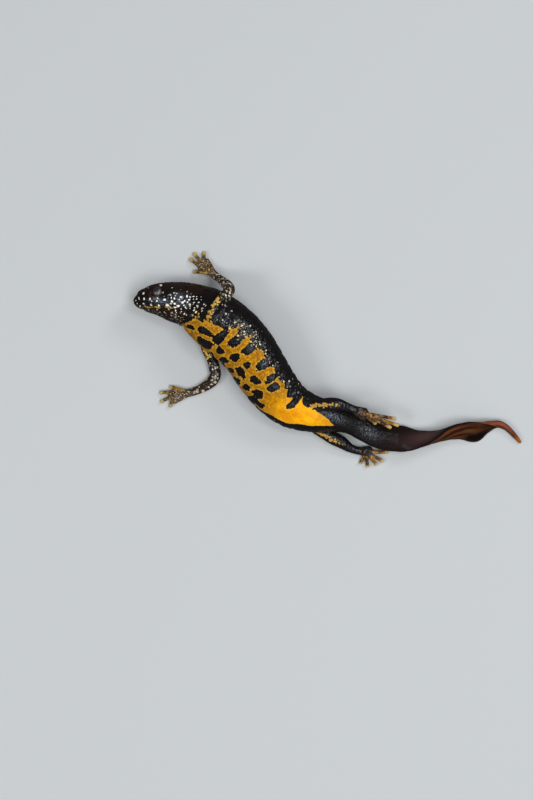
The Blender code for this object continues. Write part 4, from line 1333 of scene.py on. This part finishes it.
def skin_material():
    """Wet skin: black back, yellow belly with blotches, cream stipples, brown tail."""
    make = Shader("newt_skin")
    plus, times, mix, step, value = make.plus, make.times, make.mix, make.step, make.value
    place = make.place()
    fine = make.noise(place, FINE, 3.0)
    broad = make.noise(place, BROAD)
    grain = make.cells(place, GRAIN)[0]
    shift = plus(times(make.minus(0.36, grain), 1.5), make.about(broad, 1.3))
    field = plus(value("yellow"), plus(times(shift, value("ragged")), make.about(fine, 0.22)))
    is_yellow = step(field, -0.05, 0.06)
    wrinkles = make.noise(make.along_body(3.0, 0.10), 1.0, 2.0)
    belly = belly_skin(make, place, field, fine, broad, grain)
    base = mix(is_yellow, dark_skin(make, place, wrinkles), belly)
    rim = plus(plus(value("lip"), make.about(fine, 1.6)), make.about(broad, 2.2))
    rim = times(step(rim, 0.50, 0.86), step(value("lip"), 0.05, 0.30))
    base = mix(rim, base, mix(broad, (0.20, 0.120, 0.016), (0.38, 0.25, 0.060)))
    dots, cream = stipples(make, place, fine, broad)
    base = mix(times(dots, make.minus(1.0, is_yellow)), base, cream)

    wart = make.cells(place, WARTS, "SMOOTH_F1")[0]
    height = plus(times(wart, -1.3), times(make.noise(place, GRIT), 0.30))
    height = plus(height, times(make.noise(place, LUMPS, 1.0), 0.8))
    height = plus(height, times(wrinkles, times(value("wrinkle"), 3.0)))
    height = plus(times(height, value("rough_skin")), times(dots, 0.30))
    bump = make.node("ShaderNodeBump", Height=height, Strength=BUMP_STRENGTH, Distance=BUMP_DEPTH)
    return make.finish(
        Base_Color=limb_ends(make, place, base, fine, broad),
        Normal=bump.outputs[0],
        Roughness=plus(plus(times(is_yellow, 0.27), 0.18), times(value("matte"), 0.16)),
        Specular_Tint=mix(value("wet"), (0, 0, 0), (0.80, 0.90, 1.0)),
        Specular_IOR_Level=0.55,
        Coat_Weight=0.02,
        Coat_Roughness=0.10,
    )


def make_skin(shift):
    """One skin from snout to tail tip, limbs and digits included."""
    parts = [body_skin()]
    for name in LIMBS:
        parts += limb_pieces(name)
    items, corners, places = zip(*parts)
    mesh = unite(items[0], list(items[1:]))
    points = read(mesh.vertices, "co")
    numbers, far = nearest(points, np.vstack(corners))
    sources = np.vstack(places)[numbers]
    points = soften_joins(mesh, points, far, sources)
    move_corners(mesh, points)
    normals = read(mesh.vertex_normals, "vector")
    points = points + normals * wart_heights(points, sources)[:, None]
    points[:, 2] = np.maximum(points[:, 2], 0.0)
    move_corners(mesh, (points + shift) * MM)
    for name, values in markings(sources).items():
        layer = mesh.attributes.new(name, "FLOAT", "POINT")
        layer.data.foreach_set("value", np.asarray(values, dtype=np.float32))
    mesh.shade_smooth()
    mesh.materials.clear()
    mesh.materials.append(skin_material())
    item = bpy.data.objects.new("newt_skin", mesh)
    bpy.context.scene.collection.objects.link(item)
    return item


def eye_material():
    """Dark bronze iris round a wide black pupil under a wet cornea."""
    make = Shader("newt_eye")
    mix, step, times = make.mix, make.step, make.times
    place = make.place()
    parts = make.node("ShaderNodeSeparateXYZ", Vector=place)
    x, y = parts.outputs[0], parts.outputs[1]
    flat = make.math("SQRT", make.plus(times(x, x), times(y, y)))
    ring = make.math("DIVIDE", flat, EYE_RADIUS * MM)
    iris = mix(make.noise(place, GRIT, 4.0, 0.6), (0.010, 0.005, 0.003), (0.060, 0.028, 0.010))
    band = step(make.math("ABSOLUTE", make.math("DIVIDE", y, EYE_RADIUS * MM)), 0.12, 0.50)
    iris = mix(band, (0.012, 0.007, 0.005), iris)
    iris = mix(times(step(ring, 0.60, 0.54), 0.3), iris, (0.085, 0.044, 0.015))
    eye = mix(step(ring, 0.48, 0.52), (0.002, 0.002, 0.003), iris)
    eye = mix(step(ring, 0.76, 0.90), eye, (0.004, 0.0035, 0.0035))
    return make.finish(
        Base_Color=eye, Roughness=0.50, Specular_IOR_Level=0.9, Coat_Weight=1.0, Coat_Roughness=0.38
    )


def make_eye(side, sign, shift, material):
    """Eyeball with a slightly raised cornea, its local Z along the look."""
    middle, look, across = eye_frame(sign)
    slopes = (np.arange(EYE_STEPS + 1) * math.pi / EYE_STEPS)[:, None]
    turns = (np.arange(EYE_SIDES) * 2 * math.pi / EYE_SIDES)[None, :]
    sizes = EYE_RADIUS * MM * (1 + CORNEA_RISE * ease(*CORNEA_EDGE, np.cos(slopes)))
    flat, high = sizes * np.sin(slopes), sizes * np.cos(slopes)
    rings = np.stack([flat * np.cos(turns), flat * np.sin(turns), high + 0 * turns], axis=2)
    corners, faces = loft_data(rings[1:-1], rings[0, 0], rings[-1, 0])
    item = make_mesh("newt_eye_" + side, corners, faces)
    item.data.shade_smooth()
    item.data.materials.append(material)
    turn = Matrix((Vector(across), Vector(np.cross(look, across)), Vector(look)))
    place = Matrix.Translation(Vector((middle + shift) * MM))
    item.matrix_world = place @ turn.transposed().to_4x4()
    return item


def make_camera(shift):
    """Camera straight above, with the photo's framing and scale."""
    x = (FRAME_SHORT / 2 - ORIGIN_PIXEL[0]) / PIXELS_PER_MM + shift[0]
    y = (ORIGIN_PIXEL[1] - FRAME_LONG / 2) / PIXELS_PER_MM + shift[1]
    data = bpy.data.cameras.new("camera")
    data.sensor_width = SENSOR
    data.lens = SENSOR * PIXELS_PER_MM * (CAMERA_HEIGHT - FOCUS_HEIGHT) / FRAME_LONG
    data.clip_start = 0.01
    item = bpy.data.objects.new("camera", data)
    item.location = (x * MM, y * MM, CAMERA_HEIGHT * MM)
    bpy.context.scene.collection.objects.link(item)
    bpy.context.scene.camera = item


def area_light(name, place, size, power, tint):
    """Soft square light at a place in metres, aimed at the newt."""
    data = bpy.data.lights.new(name, "AREA")
    data.size = size
    data.energy = power
    data.color = tint
    item = bpy.data.objects.new(name, data)
    item.location = place
    item.rotation_euler = (Vector() - Vector(place)).to_track_quat("-Z", "Y").to_euler()
    item.visible_glossy = name != "fill"
    bpy.context.scene.collection.objects.link(item)


def make_studio():
    """Pale floor, soft lights and an even pale surround that only the camera sees."""
    mesh = bpy.data.meshes.new("floor")
    corners = [(x * FLOOR_HALF, y * FLOOR_HALF, 0) for x, y in ((-1, -1), (1, -1), (1, 1), (-1, 1))]
    mesh.from_pydata(corners, [], [(0, 1, 2, 3)])
    floor = bpy.data.objects.new("floor", mesh)
    bpy.context.scene.collection.objects.link(floor)
    make = Shader("floor")
    away = make.node("ShaderNodeVectorMath", {"operation": "LENGTH"}, n0=make.place())
    fade = make.step(away.outputs["Value"], *FLOOR_FADE)
    mesh.materials.append(make.finish(
        Base_Color=make.mix(fade, FLOOR_TONE, (0, 0, 0)),
        Emission_Strength=fade,
        Emission_Color=SURROUND,
        Roughness=0.85,
        Specular_IOR_Level=0.0,
    ))
    floor.visible_glossy = False
    for light in LIGHTS:
        area_light(*light)
    world = bpy.data.worlds.new("surround")
    world.use_nodes = True
    nodes = world.node_tree.nodes
    links = world.node_tree.links
    back = nodes["Background"]
    back.inputs["Color"].default_value = (*SKY_TONE, 1.0)
    back.inputs["Strength"].default_value = SKY_STRENGTH
    seen = nodes.new("ShaderNodeBackground")
    seen.inputs["Color"].default_value = (*SURROUND, 1.0)
    choice = nodes.new("ShaderNodeMixShader")
    links.new(nodes.new("ShaderNodeLightPath").outputs["Is Camera Ray"], choice.inputs[0])
    links.new(back.outputs[0], choice.inputs[1])
    links.new(seen.outputs[0], choice.inputs[2])
    links.new(choice.outputs[0], nodes["World Output"].inputs["Surface"])
    bpy.context.scene.world = world
    bpy.context.scene.view_settings.view_transform = "Standard"


def main():
    """Dress the newt's frame."""
    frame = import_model()
    low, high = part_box("eye_left")
    eye_middle = np.array((low + high) / 2) / MM
    shift = eye_middle - head_place(EYE_ALONG, EYE_UP, EYE_OUT)
    shift[2] = 0.0
    make_camera(shift)
    make_studio()

    skin_piece = make_skin(shift)
    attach(skin_piece, "root")
    flesh = [name for name in frame["nodes"] if not name.startswith("eye_")]
    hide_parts(*flesh)

    material = eye_material()
    for side, sign in (("left", 1), ("right", -1)):
        eye = make_eye(side, sign, shift, material)
        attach(eye, "root")
        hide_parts("eye_" + side)


main()
